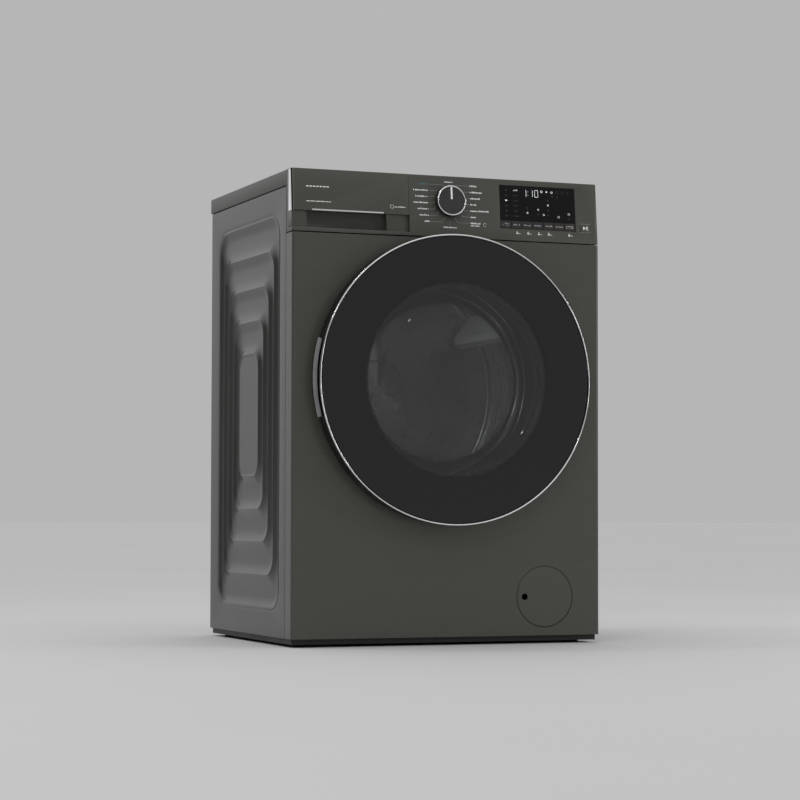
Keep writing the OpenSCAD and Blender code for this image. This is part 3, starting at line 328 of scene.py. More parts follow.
# painted light: the printed white ink glows faintly (0.12) though it is no lamp
WHITE_INK_PAINTED_GLOW = ink("printed_ink_white_painted_glow", "F0F2F0", 0.12)
GREY_INK = ink("printed_ink_grey", "A4A6A3")
BLUE_INK = ink("printed_ink_blue", "3F7E93")
LIT = ink("display_segment_lit", "E8ECEE", 0.5)
UNLIT = ink("display_segment_dim", "2E3032")
WARM_STRIP = ink("display_strip_warm", "2A2222")
COOL_STRIP = ink("display_strip_cool", "232425")

for name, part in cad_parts.items():
    for held in part.material_slots:
        held.material = FINISHES[held.material.name.split(".")[0]]
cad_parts["door_grip"].material_slots[0].material = SATIN_SILVER


# ---- Making pieces ----

def piece(name, verts, faces, slot, body, stands_for=(), sharp_deg=32.0, material=None):
    """A mesh piece with its material, riding on its body and standing for CAD nodes."""
    shape = bpy.data.meshes.new(name)
    shape.from_pydata([tuple(v) for v in verts], [], faces)
    work = bmesh.new()
    work.from_mesh(shape)
    bmesh.ops.remove_doubles(work, verts=work.verts, dist=1e-6)
    bmesh.ops.recalc_face_normals(work, faces=work.faces)
    work.to_mesh(shape)
    work.free()
    shape.polygons.foreach_set("use_smooth", [True] * len(shape.polygons))
    shape.set_sharp_from_angle(angle=math.radians(sharp_deg))
    made = bpy.data.objects.new(name, shape)
    bpy.context.scene.collection.objects.link(made)
    shape.materials.append(material or FINISHES[slot])
    if isinstance(body, str):
        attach(made, body)
    else:
        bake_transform(made)
    for node in stands_for:
        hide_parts(node)
    return made


def turned(outline, at, turns=192, closed=True):
    """Verts and faces of an outline of (radius, depth) pairs in mm, turned about a line that runs
    back through the machine. at(r cos, r sin, depth) places a point."""
    n = len(outline)
    verts = []
    for k in range(turns):
        a = 2 * math.pi * k / turns
        verts += [at(r * math.cos(a), r * math.sin(a), d) for r, d in outline]
    last = n if closed else n - 1
    faces = []
    for k in range(turns):
        here, there = k * n, (k + 1) % turns * n
        faces += [(here + i, here + (i + 1) % n, there + (i + 1) % n, there + i) for i in range(last)]
    return verts, faces


def on_door(x, z, d):
    return Vector((x * MM, deep(d), DOOR_Z + z * MM))


def on_fascia(across, up, out):
    """A place on the leaning control panel: across from the middle, up its slope, and out of it, in mm."""
    c, s = math.cos(LEAN), math.sin(LEAN)
    return Vector((across * MM, FRONT_Y + (up * s - out * c) * MM, FASCIA_LOW.z + (up * c + out * s) * MM))


def rounded(outline, passes=2):
    """Corners of a closed outline cut again and again, which rounds them."""
    for _ in range(passes):
        cut = []
        for (r0, d0), (r1, d1) in zip(outline, outline[1:] + outline[:1]):
            cut += [(0.75 * r0 + 0.25 * r1, 0.75 * d0 + 0.25 * d1),
                    (0.25 * r0 + 0.75 * r1, 0.25 * d0 + 0.75 * d1)]
        outline = cut
    return outline


def swept(path, radius, sides=12, swell=None):
    """A round bar along a path, with flat ends. swell(k) is its radius at point k, if it changes."""
    n = len(path)
    heading = (path[1] - path[0]).normalized()
    across = heading.orthogonal().normalized()
    verts, faces = [], []
    for k, here in enumerate(path):
        ahead = (path[min(k + 1, n - 1)] - path[max(k - 1, 0)]).normalized()
        across = (across - ahead * across.dot(ahead)).normalized()
        up = ahead.cross(across)
        r = swell(k) if swell else radius
        for i in range(sides):
            a = 2 * math.pi * i / sides
            verts.append(here + across * (r * math.cos(a)) + up * (r * math.sin(a)))
    for k in range(n - 1):
        for i in range(sides):
            j = (i + 1) % sides
            faces.append((k * sides + i, k * sides + j, (k + 1) * sides + j, (k + 1) * sides + i))
    faces.append(tuple(range(sides)))
    faces.append(tuple((n - 1) * sides + i for i in range(sides)))
    return verts, faces


def edged(name, node, slot, body, width_mm, parts=2, material=None):
    """The CAD node's own shape with its sharp edges rounded, as a new piece in its place."""
    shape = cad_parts[node].data.copy()
    work = bmesh.new()
    work.from_mesh(shape)
    bmesh.ops.remove_doubles(work, verts=work.verts, dist=2e-6)
    bmesh.ops.dissolve_limit(work, angle_limit=0.01, verts=work.verts, edges=work.edges)
    plain = bpy.data.meshes.new(name)
    work.to_mesh(plain)
    work.free()
    bpy.data.meshes.remove(shape)
    plain.polygons.foreach_set("use_smooth", [True] * len(plain.polygons))
    plain.materials.append(material or FINISHES[slot])
    made = bpy.data.objects.new(name, plain)
    bpy.context.scene.collection.objects.link(made)
    soft = made.modifiers.new("edges", "BEVEL")
    soft.width = width_mm * MM
    soft.segments = parts
    soft.limit_method = "ANGLE"
    soft.angle_limit = math.radians(40)
    soft.harden_normals = True
    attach(made, body)
    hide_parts(node)
    return made


# ---- Cabinet ----

SHEET = 1.2  # mm, of the side panels and of the drum
COVES = 4
COVE_PARTS = 14
COVE_BEND = 3.3  # how flat a cove's floor is: 2 is a parabola
COVE_DEEP = (SIDE_HIGH.x - SIDE_LOW.x) / MM - SHEET
WORKTOP_GAP = 2.4  # mm of shadow gap under the worktop
WRAP_GAP = 1.1  # mm of gap to the front panel's wrapped edge
RING_EDGE = (46, 50)  # mm from the panel's edges to the first rectangle, in depth and in height
RING_STEP = (30.3, 60.0)  # mm from each rectangle to the next
RING_CORNER = 40  # mm, the first rectangle's corner radius
RING_FORWARD = 7.5  # mm that the rectangles' middle lies ahead of the panel's
EDGE_BEAD = ((-9, 0.0), (-6, 0.25), (-3.5, 0.9), (-2, 0.7), (-0.8, 0.15))  # (inset, depth) in mm
MIDDLE_STEP = ((1, 1, 0.25), (2.5, 2.5, 0.9), (5, 5, 1.1), (10, 8, 1.1))  # (inset, off the corner, depth)
CORNER_PARTS = 12


def pressed_side(name, node, side):
    """Pressed side panel: nested rounded rectangles, with a hollow cove between each and the next."""
    half_d = (SIDE_HIGH.y - SIDE_LOW.y) / 2 / MM
    half_h = (SIDE_HIGH.z - SIDE_LOW.z) / 2 / MM
    mid_y = (SIDE_HIGH.y + SIDE_LOW.y) / 2
    mid_z = (SIDE_HIGH.z + SIDE_LOW.z) / 2
    ring_d, ring_h = half_d - RING_EDGE[0], half_h - RING_EDGE[1]

    def ring(s, hollow):
        """The loop s steps in from the first rectangle, that far below the sheet's face."""
        return (ring_d - RING_STEP[0] * s, ring_h - RING_STEP[1] * s, RING_CORNER - 2 * s, hollow,
                -RING_FORWARD)

    loops = [(half_d, half_h, 2.0, 0.0, 0.0)]
    for inset, hollow in EDGE_BEAD:
        loops.append((ring_d - inset, ring_h - inset, RING_CORNER - inset, hollow, -RING_FORWARD))
    for k in range(COVES * COVE_PARTS):
        s = k / COVE_PARTS
        loops.append(ring(s, COVE_DEEP * (1 - abs(2 * (s % 1) - 1) ** COVE_BEND)))
    loops.append(ring(COVES, 0.0))
    a, b, r, _, shift = loops[-1]
    loops += [(a - inset, b - inset, r - off, hollow, shift) for inset, off, hollow in MIDDLE_STEP]
    verts, faces = [], []
    around = 4 * (CORNER_PARTS + 1)
    for skin in (0.0, SHEET):
        for a, b, r, hollow, shift in loops:
            for q, (sy, sz) in enumerate(((1, 1), (-1, 1), (-1, -1), (1, -1))):
                for j in range(CORNER_PARTS + 1):
                    t = (q + j / CORNER_PARTS) * math.pi / 2
                    y = sy * (a - r) + r * math.cos(t) + shift
                    z = sz * (b - r) + r * math.sin(t)
                    if b == half_h:
                        z -= WORKTOP_GAP if sz > 0 else 0.0
                        y += WRAP_GAP if sy < 0 else 0.0
                    x = HALF_W - (hollow + skin) * MM
                    verts.append((side * x, mid_y + y * MM, mid_z + z * MM))
    depth = len(loops)
    for skin in (0, 1):
        start = skin * depth * around
        for i in range(depth - 1):
            for k in range(around):
                p, q = start + i * around + k, start + i * around + (k + 1) % around
                faces.append((p, q, q + around, p + around))
        faces.append(tuple(start + (depth - 1) * around + k for k in range(around)))
    for k in range(around):
        p, q = k, (k + 1) % around
        faces.append((p, q, q + depth * around, p + depth * around))
    return piece(name, verts, faces, "side_paint", "cabinet", (node,), 50.0)


pressed_side("side_panel_left", "left_panel", -1)
pressed_side("side_panel_right", "right_panel", 1)
edged("worktop_slab", "worktop", "worktop_laminate", "cabinet", 1.6, 3)
edged("control_fascia", "fascia", "fascia_plastic", "cabinet", 0.5)
edged("start_key_cap", "start_key", "fascia_plastic", "start_button", 0.5)
# the drawer's face carries painted shade in the hollow under its grip
edged("drawer_face", "drawer_front", "fascia_plastic", "drawer", 0.5, material=drawer_abs_painted_shade())
edged("drawer_bin", "drawer_tray", "white_plastic", "drawer", 0.5)
edged("dispenser_box", "dispenser_housing", "white_plastic", "cabinet", 0.5)
edged("front_weights", "counterweights", "weight_iron", "tub", 3.0, 3)


# ---- Door ----

# All in mm
GLASS_THICK = 3.0
RING_WIDE = 2.8
BOWL_WALL = 5.0
BOWL_TAPER = 22.0  # how much less the bowl's radius is at its end
BOWL_BEND = 12.0  # radius of the end's rounded edge
BOWL_CROWN = 6.0  # how far the end's middle stands past its edge


def door_parts():
    """The big glass with its slight dome, and the chrome ring round it."""
    edge_d = (GLASS_HIGH.y - FRONT_Y) / MM - GLASS_THICK
    middle_d = (GLASS_LOW.y - FRONT_Y) / MM
    radius = GLASS_R / MM
    steps = 28
    front = [(radius * i / steps, edge_d + (middle_d - edge_d) * (1 - (i / steps) ** 2))
             for i in range(steps + 1)]
    front[-1] = (radius - 0.4, edge_d + 0.02)
    back = [(r, d + GLASS_THICK) for r, d in front]
    outline = front + [(radius, edge_d + 0.5), (radius, edge_d + 2.6)] + back[::-1]
    piece("smoked_door_glass", *turned(outline, on_door, 224, closed=False), "smoked_glass", "door",
          ("door_glass",))
    r = DOOR_R / MM
    low = (RING_HIGH.y - FRONT_Y) / MM
    high = (RING_LOW.y - FRONT_Y) / MM
    half = RING_WIDE / 2
    crown = [(r - RING_WIDE, low)] + [
        (r - half - half * math.cos(t * math.pi / 12),
         low + (high - low) * (0.7 + 0.3 * math.sin(t * math.pi / 12))) for t in range(13)] + [(r, low)]
    piece("door_chrome_ring", *turned(crown, on_door, 256), "bright_trim", "door", ("door_ring",), 60.0)


def glass_bowl():
    """Pressed glass bowl: flange under the door's rim, straight wall, and a crowned end with a rounded
    edge."""
    end = (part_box("door_bowl")[1].y - FRONT_Y) / MM
    flange = (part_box("door_bowl")[0].y - FRONT_Y) / MM
    rim = BOWL_R + BOWL_FLANGE

    def profile(shrink):
        """One skin of the bowl, from its shoulder to its middle, moved in by shrink."""
        r, nose = BOWL_R - shrink, BOWL_R - BOWL_TAPER - shrink - BOWL_BEND
        turn_d = end - BOWL_CROWN - shrink - BOWL_BEND
        shoulder = [(r, flange + 4), (r, 4 - shrink * 0.2), (r - 0.8, 8.5)]
        edge = [(nose + BOWL_BEND * math.cos(math.radians(a)), turn_d + BOWL_BEND * math.sin(math.radians(a)))
                for a in range(0, 81, 8)]
        face = [(nose * i / 10, end - shrink - BOWL_CROWN * (i / 10) ** 2) for i in range(9, -1, -1)]
        return shoulder + edge + face

    inside = [(BOWL_R - BOWL_WALL, flange)] + profile(BOWL_WALL)[1:]
    outline = inside[::-1] + [(rim - 0.6, flange), (rim, flange + 0.6), (rim, flange + 3.4),
                              (rim - 0.6, flange + 4)] + profile(0.0)
    piece("pressed_glass_bowl", *turned(outline, on_door, 192, closed=False), "clear_glass", "door",
          ("door_bowl",), 60.0)


door_parts()
glass_bowl()


# ---- Drum ----

COLUMNS = 112  # drain holes round the wall
ROWS = 17
HOLE_R = 2.1  # mm
ARM_HIGH = 4.0  # mm that each of the back's three arms is pressed forward
HUB_HIGH = 3.0  # and its middle, out to HUB_R
HUB_R = 58


def drum_wall():
    """The stainless drum: mouth, front, wall with its real drain holes, and a back pressed with three
    arms."""
    front_d = (DRUM_LOW.y - FRONT_Y) / MM + 8
    back_d = (DRUM_HIGH.y - FRONT_Y) / MM
    r = DRUM_R / MM
    first, last = front_d + 22, back_d - 26
    row_h = (last - first) / ROWS
    wide = 2 * math.pi / COLUMNS
    verts, faces = [], []

    def wall(a, d, inner):
        rr = r - (SHEET if inner else 0)
        verts.append(on_door(rr * math.cos(a), rr * math.sin(a), d))
        return len(verts) - 1

    for row in range(ROWS):
        shift = 0.5 * (row % 2)
        for column in range(COLUMNS):
            a0 = (column + shift) * wide
            d0 = first + row * row_h
            rim = [(0, 0), (0.5, 0), (1, 0), (1, 0.5), (1, 1), (0.5, 1), (0, 1), (0, 0.5)]
            loops = []
            for inner in (False, True):
                outer = [wall(a0 + u * wide, d0 + v * row_h, inner) for u, v in rim]
                hole = []
                for u, v in rim:
                    t = math.atan2(v - 0.5, u - 0.5)
                    hole.append(wall(a0 + wide / 2 + HOLE_R * math.cos(t) / r,
                                     d0 + row_h / 2 + HOLE_R * math.sin(t), inner))
                faces.extend((outer[i], outer[(i + 1) % 8], hole[(i + 1) % 8], hole[i]) for i in range(8))
                loops.append(hole)
            near, far = loops
            faces.extend((near[i], near[(i + 1) % 8], far[(i + 1) % 8], far[i]) for i in range(8))

    mouth = BOWL_R + 1
    turns = COLUMNS * 2
    front = [(r, first), (r, front_d + 6), (r - 2, front_d + 1.8), (r - 6, front_d),
             (mouth + SHEET + 3, front_d), (mouth + SHEET, front_d - 2), (mouth + SHEET, front_d - 7.4),
             (mouth + 0.6, front_d - 8), (mouth, front_d - 7.4), (mouth, front_d - 0.6),
             (mouth + 2.4, front_d + SHEET), (r - 6, front_d + SHEET), (r - 3, front_d + 3.4),
             (r - SHEET, front_d + 6), (r - SHEET, first)]

    def arms(k, radius):
        """How far the back is pressed in towards the front, on its three arms and its middle."""
        a = 2 * math.pi * k / turns
        lobe = max(0.0, math.cos(3 * (a - math.pi / 2))) ** 3
        rise = math.sin(math.pi * min(1.0, radius / (r - 20))) ** 0.6 if radius < r - 20 else 0.0
        return ARM_HIGH * lobe * rise + (HUB_HIGH if radius < HUB_R else 0.0)

    radii = [r - 6, r - 14, r - 20, 205, 180, 150, 120, 90, 70, 58.5, 56, 30, 0.0]
    start = len(verts)
    for k in range(turns):
        a = k * wide / 2
        for rr, d in front:
            verts.append(on_door(rr * math.cos(a), rr * math.sin(a), d))
    n = len(front)
    for k in range(turns):
        p, q = start + k * n, start + (k + 1) % turns * n
        faces.extend((p + i, p + i + 1, q + i + 1, q + i) for i in range(n - 1))
    start = len(verts)
    for k in range(turns):
        a = k * wide / 2
        outside = [(r, last), (r, back_d - 6), (r - 2, back_d - 2)]
        outside += [(rr, back_d - arms(k, rr)) for rr in radii]
        inside = [(r - SHEET, last), (r - SHEET, back_d - 6), (r - 3, back_d - 3)]
        inside += [(rr, back_d - SHEET - arms(k, rr)) for rr in radii]
        for rr, d in outside + inside:
            verts.append(on_door(rr * math.cos(a), rr * math.sin(a), d))
    n = len(radii) + 3
    for k in range(turns):
        p, q = start + k * 2 * n, start + (k + 1) % turns * 2 * n
        for skin in (0, n):
            faces.extend((p + skin + i, p + skin + i + 1, q + skin + i + 1, q + skin + i)
                         for i in range(n - 1))
    return piece("perforated_drum", verts, faces, "stainless_steel", "drum", ("drum_shell",), 40.0)


drum_wall()


# ---- Soft and sprung pieces between the cabinet and the tub ----

def gasket():
    """Moulded bellows from the front panel's hole to the tub's neck, with a thin lip to the door glass."""
    n, b = NECK_R, BOWL_R
    outline = [(n + 3, -1.2), (n + 12, -1.2), (n + 12, -0.1), (n + 6.6, 0.2), (n + 6.6, 15), (b + 22, 20),
               (b + 21.5, 30), (b + 8, 35), (b + 6.8, 42), (n + 5.6, 46.8), (n + 6, 60), (n + 3.6, 60),
               (n + 3.4, 49.5), (b + 4.6, 44), (b + 4.2, 34.4), (b + 18.6, 28.5), (b + 19.4, 22),
               (n + 3.2, 16),
               (b + 2.2, 9.2), (b + 1.2, 7.6), (b + 1.6, 6.2), (b + 3, 6.4), (n + 2.6, 11)]
    piece("door_bellows", *turned(rounded(outline, 2), on_door, 160), "grey_rubber",
          ("cabinet", "tub", on_door(0, 0, 4), on_door(0, 0, 58)), ("door_gasket",), 70.0)


COILS = 9
WIRE_R = 2.0  # mm
COIL_R = 13.0  # mm, to the wire's middle


def springs():
    """Two coil springs, wound from 4 mm wire, that the tub hangs on."""
    verts, faces = [], []
    low, high = SPRING_LOW.z, SPRING_HIGH.z
    mid_x = SPRING_HIGH.x - (COIL_R + WIRE_R) * MM
    mid_y = (SPRING_LOW.y + SPRING_HIGH.y) / 2
    steps = COILS * 26
    for side in (-1, 1):
        path = [Vector((side * mid_x, mid_y, low))]
        for k in range(steps + 1):
            t = k / steps
            out = COIL_R * MM * min(1, min(t, 1 - t) * 14)
            a = 2 * math.pi * COILS * t
            path.append(Vector((side * (mid_x + out * math.cos(a)), mid_y + out * math.sin(a),
                                low + 4 * MM + (high - low - 8 * MM) * t)))
        path.append(Vector((side * mid_x, mid_y, high)))
        v, f = swept(path, WIRE_R * MM, 8)
        faces += [tuple(i + len(verts) for i in face) for face in f]
        verts += v
    mid = Vector((0, mid_y, 0))
    piece("hanging_springs", verts, faces, "zinc_steel",
          ("tub", "cabinet", mid + Vector((0, 0, low)), mid + Vector((0, 0, high))),
          ("suspension_springs",), 60.0)


def dispenser_bellows():
    """Corrugated rubber hose from under the dispenser down to the tub."""
    low, high = HOSE_LOW.z / MM, HOSE_HIGH.z / MM
    mid_x = (HOSE_LOW.x + HOSE_HIGH.x) / 2
    mid_y = (HOSE_LOW.y + HOSE_HIGH.y) / 2
    wave_low, wave_high = low + 10, high - 12.5
    waves, parts = 4, 12
    outer = [(20, low), (20, wave_low - 1)]
    inner = [(17.3, low), (17.3, wave_low - 1)]
    for k in range(waves * parts + 1):
        ripple = 0.5 - 0.5 * math.cos(2 * math.pi * k / parts)
        z = wave_low + (wave_high - wave_low) * k / (waves * parts)
        outer.append((19 + 3 * ripple, z))
        inner.append((15.5 + 3 * ripple, z))
    outer += [(20, wave_high + 1), (20, high)]
    inner += [(17.02, wave_high + 1), (17.02, high)]

    def place(x, y, z):
        return Vector((mid_x + x * MM, mid_y + y * MM, z * MM))

    verts, faces = turned(outer + inner[::-1], place, 64)
    piece("dispenser_bellows", verts, faces, "black_rubber",
          ("tub", "cabinet", Vector((mid_x, mid_y, low * MM)), Vector((mid_x, mid_y, high * MM))),
          ("dispenser_hose",), 50.0)


def sump_bellows():
    """Ribbed rubber hose from the tub's sump to the pump's filter housing."""
    filter_z = (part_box("filter_well")[0].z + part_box("filter_well")[1].z) / 2
    end_x = SUMP_HIGH.x
    top = Vector((40 * MM, deep(200), SUMP_HIGH.z))
    rough = [top, top - Vector((0, 1 * MM, 20 * MM)), top + Vector((4 * MM, -10 * MM, -40 * MM)),
             Vector((56 * MM, deep(166), filter_z + 36 * MM)),
             Vector((74 * MM, deep(134), filter_z + 20 * MM)),
             Vector((end_x - 38 * MM, deep(96), filter_z + 8 * MM)),
             Vector((end_x - 28 * MM, deep(72), filter_z + 2 * MM)),
             Vector((end_x - 12 * MM, deep(60), filter_z)), Vector((end_x, deep(60), filter_z))]
    path = []
    for k in range(len(rough) - 1):
        p0, p1, p2, p3 = (rough[max(0, min(len(rough) - 1, k + j))] for j in (-1, 0, 1, 2))
        for i in range(10):
            t = i / 10
            path.append(0.5 * ((2 * p1) + (p2 - p0) * t + (2 * p0 - 5 * p1 + 4 * p2 - p3) * t * t
                               + (3 * p1 - p0 - 3 * p2 + p3) * t ** 3))
    path.append(rough[-1])
    n = len(path)

    def ribs(k):
        """The hose's radius there: ribs along its middle, and plain cuffs at its ends."""
        middle = 12 < k < n - 12
        return (15.0 + (math.sin(k * math.pi / 2) if middle else 0.9)) * MM

    verts, faces = swept(path, 16 * MM, 24, ribs)
    piece("sump_bellows", verts, faces, "black_rubber", ("tub", "cabinet", top, rough[-1]),
          ("sump_hose",), 50.0)


gasket()
springs()
dispenser_bellows()
sump_bellows()


# ---- Knob ----

KNOB_RIBS = 72
RIB_DEEP = 0.35  # mm


def knob_parts():
    """The programme knob: ribbed side, chrome rim, flat face and white pointer."""
    mid_x = (KNOB_LOW.x + KNOB_HIGH.x) / 2 / MM
    up = ((KNOB_LOW.z + KNOB_HIGH.z) / 2 - FASCIA_LOW.z) / math.cos(LEAN) / MM - 0.55

    def place(x, y, out):
        return on_fascia(mid_x + x, up + y, out)

    turns = 360
    body = [(0, 0.6), (27.0, 0.6), (27.7, 1.2), (27.5, 10.4), (27.0, 11.6), (24.9, 11.6), (24.9, 12.0),
            (0, 12.0)]
    verts, faces = turned(body, place, turns)
    n = len(body)
    for k in range(turns):
        groove = RIB_DEEP * (0.5 + 0.5 * math.cos(2 * math.pi * KNOB_RIBS * k / turns))
        for i in (2, 3):
            r = body[i][0] - groove
            a = 2 * math.pi * k / turns
            verts[k * n + i] = place(r * math.cos(a), r * math.sin(a), body[i][1])
    piece("knob_body", verts, faces, "knob_plastic", "programme_knob", ("knob",), 40.0)
    rim = [(25.4, 11.7), (25.4, 12.2), (26.0, 12.8), (26.8, 13.0), (27.6, 12.6), (27.9, 12.0),
           (27.9, 11.2), (27.2, 10.6), (26.4, 11.0)]
    piece("knob_chrome_rim", *turned(rim, place, 160), "bright_trim", "programme_knob", (), 60.0)
    mark = [(-1.6, 2.5), (1.6, 2.5), (1.6, 24.8), (-1.6, 24.8)]
    verts = [place(x, y, out) for out in (11.9, 12.25) for x, y in mark]
    faces = [(3, 2, 1, 0), (4, 5, 6, 7)] + [(i, (i + 1) % 4, 4 + (i + 1) % 4, 4 + i) for i in range(4)]
    piece("knob_pointer", verts, faces, "knob_plastic", "programme_knob", (), 30.0, WHITE_INK_PAINTED_GLOW)
    return mid_x, up


KNOB_X, KNOB_UP = knob_parts()


# ---- Printed marks on the control panel ----

class Print:
    """Marks of one ink, laid on the sloping control panel and kept as one piece."""

    def __init__(self, proud=0.0):
        self.verts, self.faces, self.proud = [], [], proud

    def patch(self, corners, thick=0.12):
        """A flat patch with those corners (across, up), counted anticlockwise."""
        n, start = len(corners), len(self.verts)
        self.verts += [on_fascia(x, u, self.proud + out) for out in (-0.05, thick) for x, u in corners]
        self.faces.append(tuple(start + i for i in range(n))[::-1])
        self.faces.append(tuple(start + n + i for i in range(n)))
        self.faces += [(start + i, start + (i + 1) % n, start + n + (i + 1) % n, start + n + i)
                       for i in range(n)]

    def bar(self, x0, x1, u0, u1):
        self.patch([(x0, u0), (x1, u0), (x1, u1), (x0, u1)])

    def line(self, x0, u0, x1, u1, width=0.45):
        run = math.hypot(x1 - x0, u1 - u0)
        sx, su = (x1 - x0) / run * width / 2, (u1 - u0) / run * width / 2
        self.patch([(x0 + su, u0 - sx), (x1 + su, u1 - sx), (x1 - su, u1 + sx), (x0 - su, u0 + sx)])

    def disc(self, x, u, r, parts=14):
        self.patch([(x + r * math.cos(2 * math.pi * k / parts), u + r * math.sin(2 * math.pi * k / parts))
                    for k in range(parts)])

    def hoop(self, x, u, r, width=0.5, parts=16, start=0.0, sweep=2 * math.pi):
        for k in range(parts):
            a, b = start + sweep * k / parts, start + sweep * (k + 1) / parts
            self.line(x + r * math.cos(a), u + r * math.sin(a),
                      x + r * math.cos(b), u + r * math.sin(b), width)

    def words(self, x, u, length, height, draw):
        """A run of small blocks where a label stands: generic, with no letters."""
        end = x + length
        while x < end - 0.5 * height:
            wide = height * draw.choice((0.45, 0.6, 0.75))
            tall = height * draw.choice((0.8, 0.8, 1.15))
            self.bar(x, min(x + wide, end), u - height / 2, u - height / 2 + tall)
            x += wide + height * draw.choice((0.25, 0.25, 0.25, 0.7))

    def digit(self, x, u, wide, tall, lit, width=1.1):
        """A seven-segment digit; lit holds the letters of its lit segments, a to g."""
        g, m = 0.35, u + tall / 2
        ends = {"a": (x + g, u + tall, x + wide - g, u + tall),
                "b": (x + wide, m + g, x + wide, u + tall - g),
                "c": (x + wide, u + g, x + wide, m - g), "d": (x + g, u, x + wide - g, u),
                "e": (x, u + g, x, m - g), "f": (x, m + g, x, u + tall - g), "g": (x + g, m, x + wide - g, m)}
        for segment in lit:
            self.line(*ends[segment], width)

    def done(self, name, material, slot, body):
        piece(name, self.verts, self.faces, slot, body, (), 30.0, material)


LABEL_HIGH = 2.5  # mm
LEADER_R = 30.5  # mm from the knob's middle to where a leader line starts
LEADER_END = 39  # mm aside to where it ends


def dial_print():
    """The programme places, seven on each side of the knob: a leader line to a label at the end of each."""
    draw = random.Random(11)
    white, lines, blue = Print(), Print(), Print()
    rows = [31, 19.5, 8, -3.5, -15, -26.5, -38]
    right = [15, 26, 21, 12, 36, 11, 20]
    left = [25, 40, 35, 40, 30, 25, 12]
    for k, up in enumerate(rows):
        steep = abs(up + 3.5) / 34.5
        a = math.asin(max(-0.98, min(0.98, (up + 3.5) / 36)))
        near_x, near_u = LEADER_R * math.cos(a), LEADER_R * math.sin(a)
        for side in (-1, 1):
            x0, u0 = KNOB_X + side * near_x, KNOB_UP + near_u
            bend = KNOB_X + side * (near_x + (7 if steep > 0.9 else 2) * steep)
            lines.line(x0, u0, bend, KNOB_UP + up)
            lines.line(bend, KNOB_UP + up, KNOB_X + side * LEADER_END, KNOB_UP + up)
        label_x = LEADER_END + 2
        white.words(KNOB_X + label_x, KNOB_UP + up, right[k], LABEL_HIGH, draw)
        hold = blue if k == 0 else white
        hold.words(KNOB_X - label_x - left[k] * 0.72, KNOB_UP + up, left[k] * 0.72, LABEL_HIGH, draw)
    white.words(KNOB_X + label_x, KNOB_UP - 42.5, 18, 2.0, draw)
    white.words(KNOB_X - 9, KNOB_UP + 36.5, 18, 2.0, draw)
    white.words(KNOB_X - 13, KNOB_UP - 47.5, 26, 2.0, draw)
    lines.line(KNOB_X, KNOB_UP + 30.4, KNOB_X, KNOB_UP + 33.6)
    lines.line(KNOB_X, KNOB_UP - 43.6, KNOB_X, KNOB_UP - 36)
    white.hoop(KNOB_X + 69, KNOB_UP - 40, 3.2, 0.4, 10, 0.5, 5.0)
    white.done("dial_labels", WHITE_INK_PAINTED_GLOW, "fascia_plastic", "cabinet")
    lines.done("dial_leaders", GREY_INK, "fascia_plastic", "cabinet")
    blue.done("dial_label_blue", BLUE_INK, "fascia_plastic", "cabinet")


def drawer_print():
    """A plain badge of seven bars on the drawer's face, and two small label lines, one with a hoop."""
    draw = random.Random(5)
    mark = Print()
    left = -HALF_W / MM
    for k in range(7):
        mark.bar(left + 27 + k * 6.4, left + 31.6 + k * 6.4, 80.6, 82.4)
    mark.words(left + 27, 54.6, 46, 1.8, draw)
    mark.hoop(-110, 52, 3.4, 0.5, 12)
    mark.words(-105, 51.6, 22, 1.7, draw)
    mark.done("drawer_labels", WHITE_INK_PAINTED_GLOW, "fascia_plastic", "drawer")


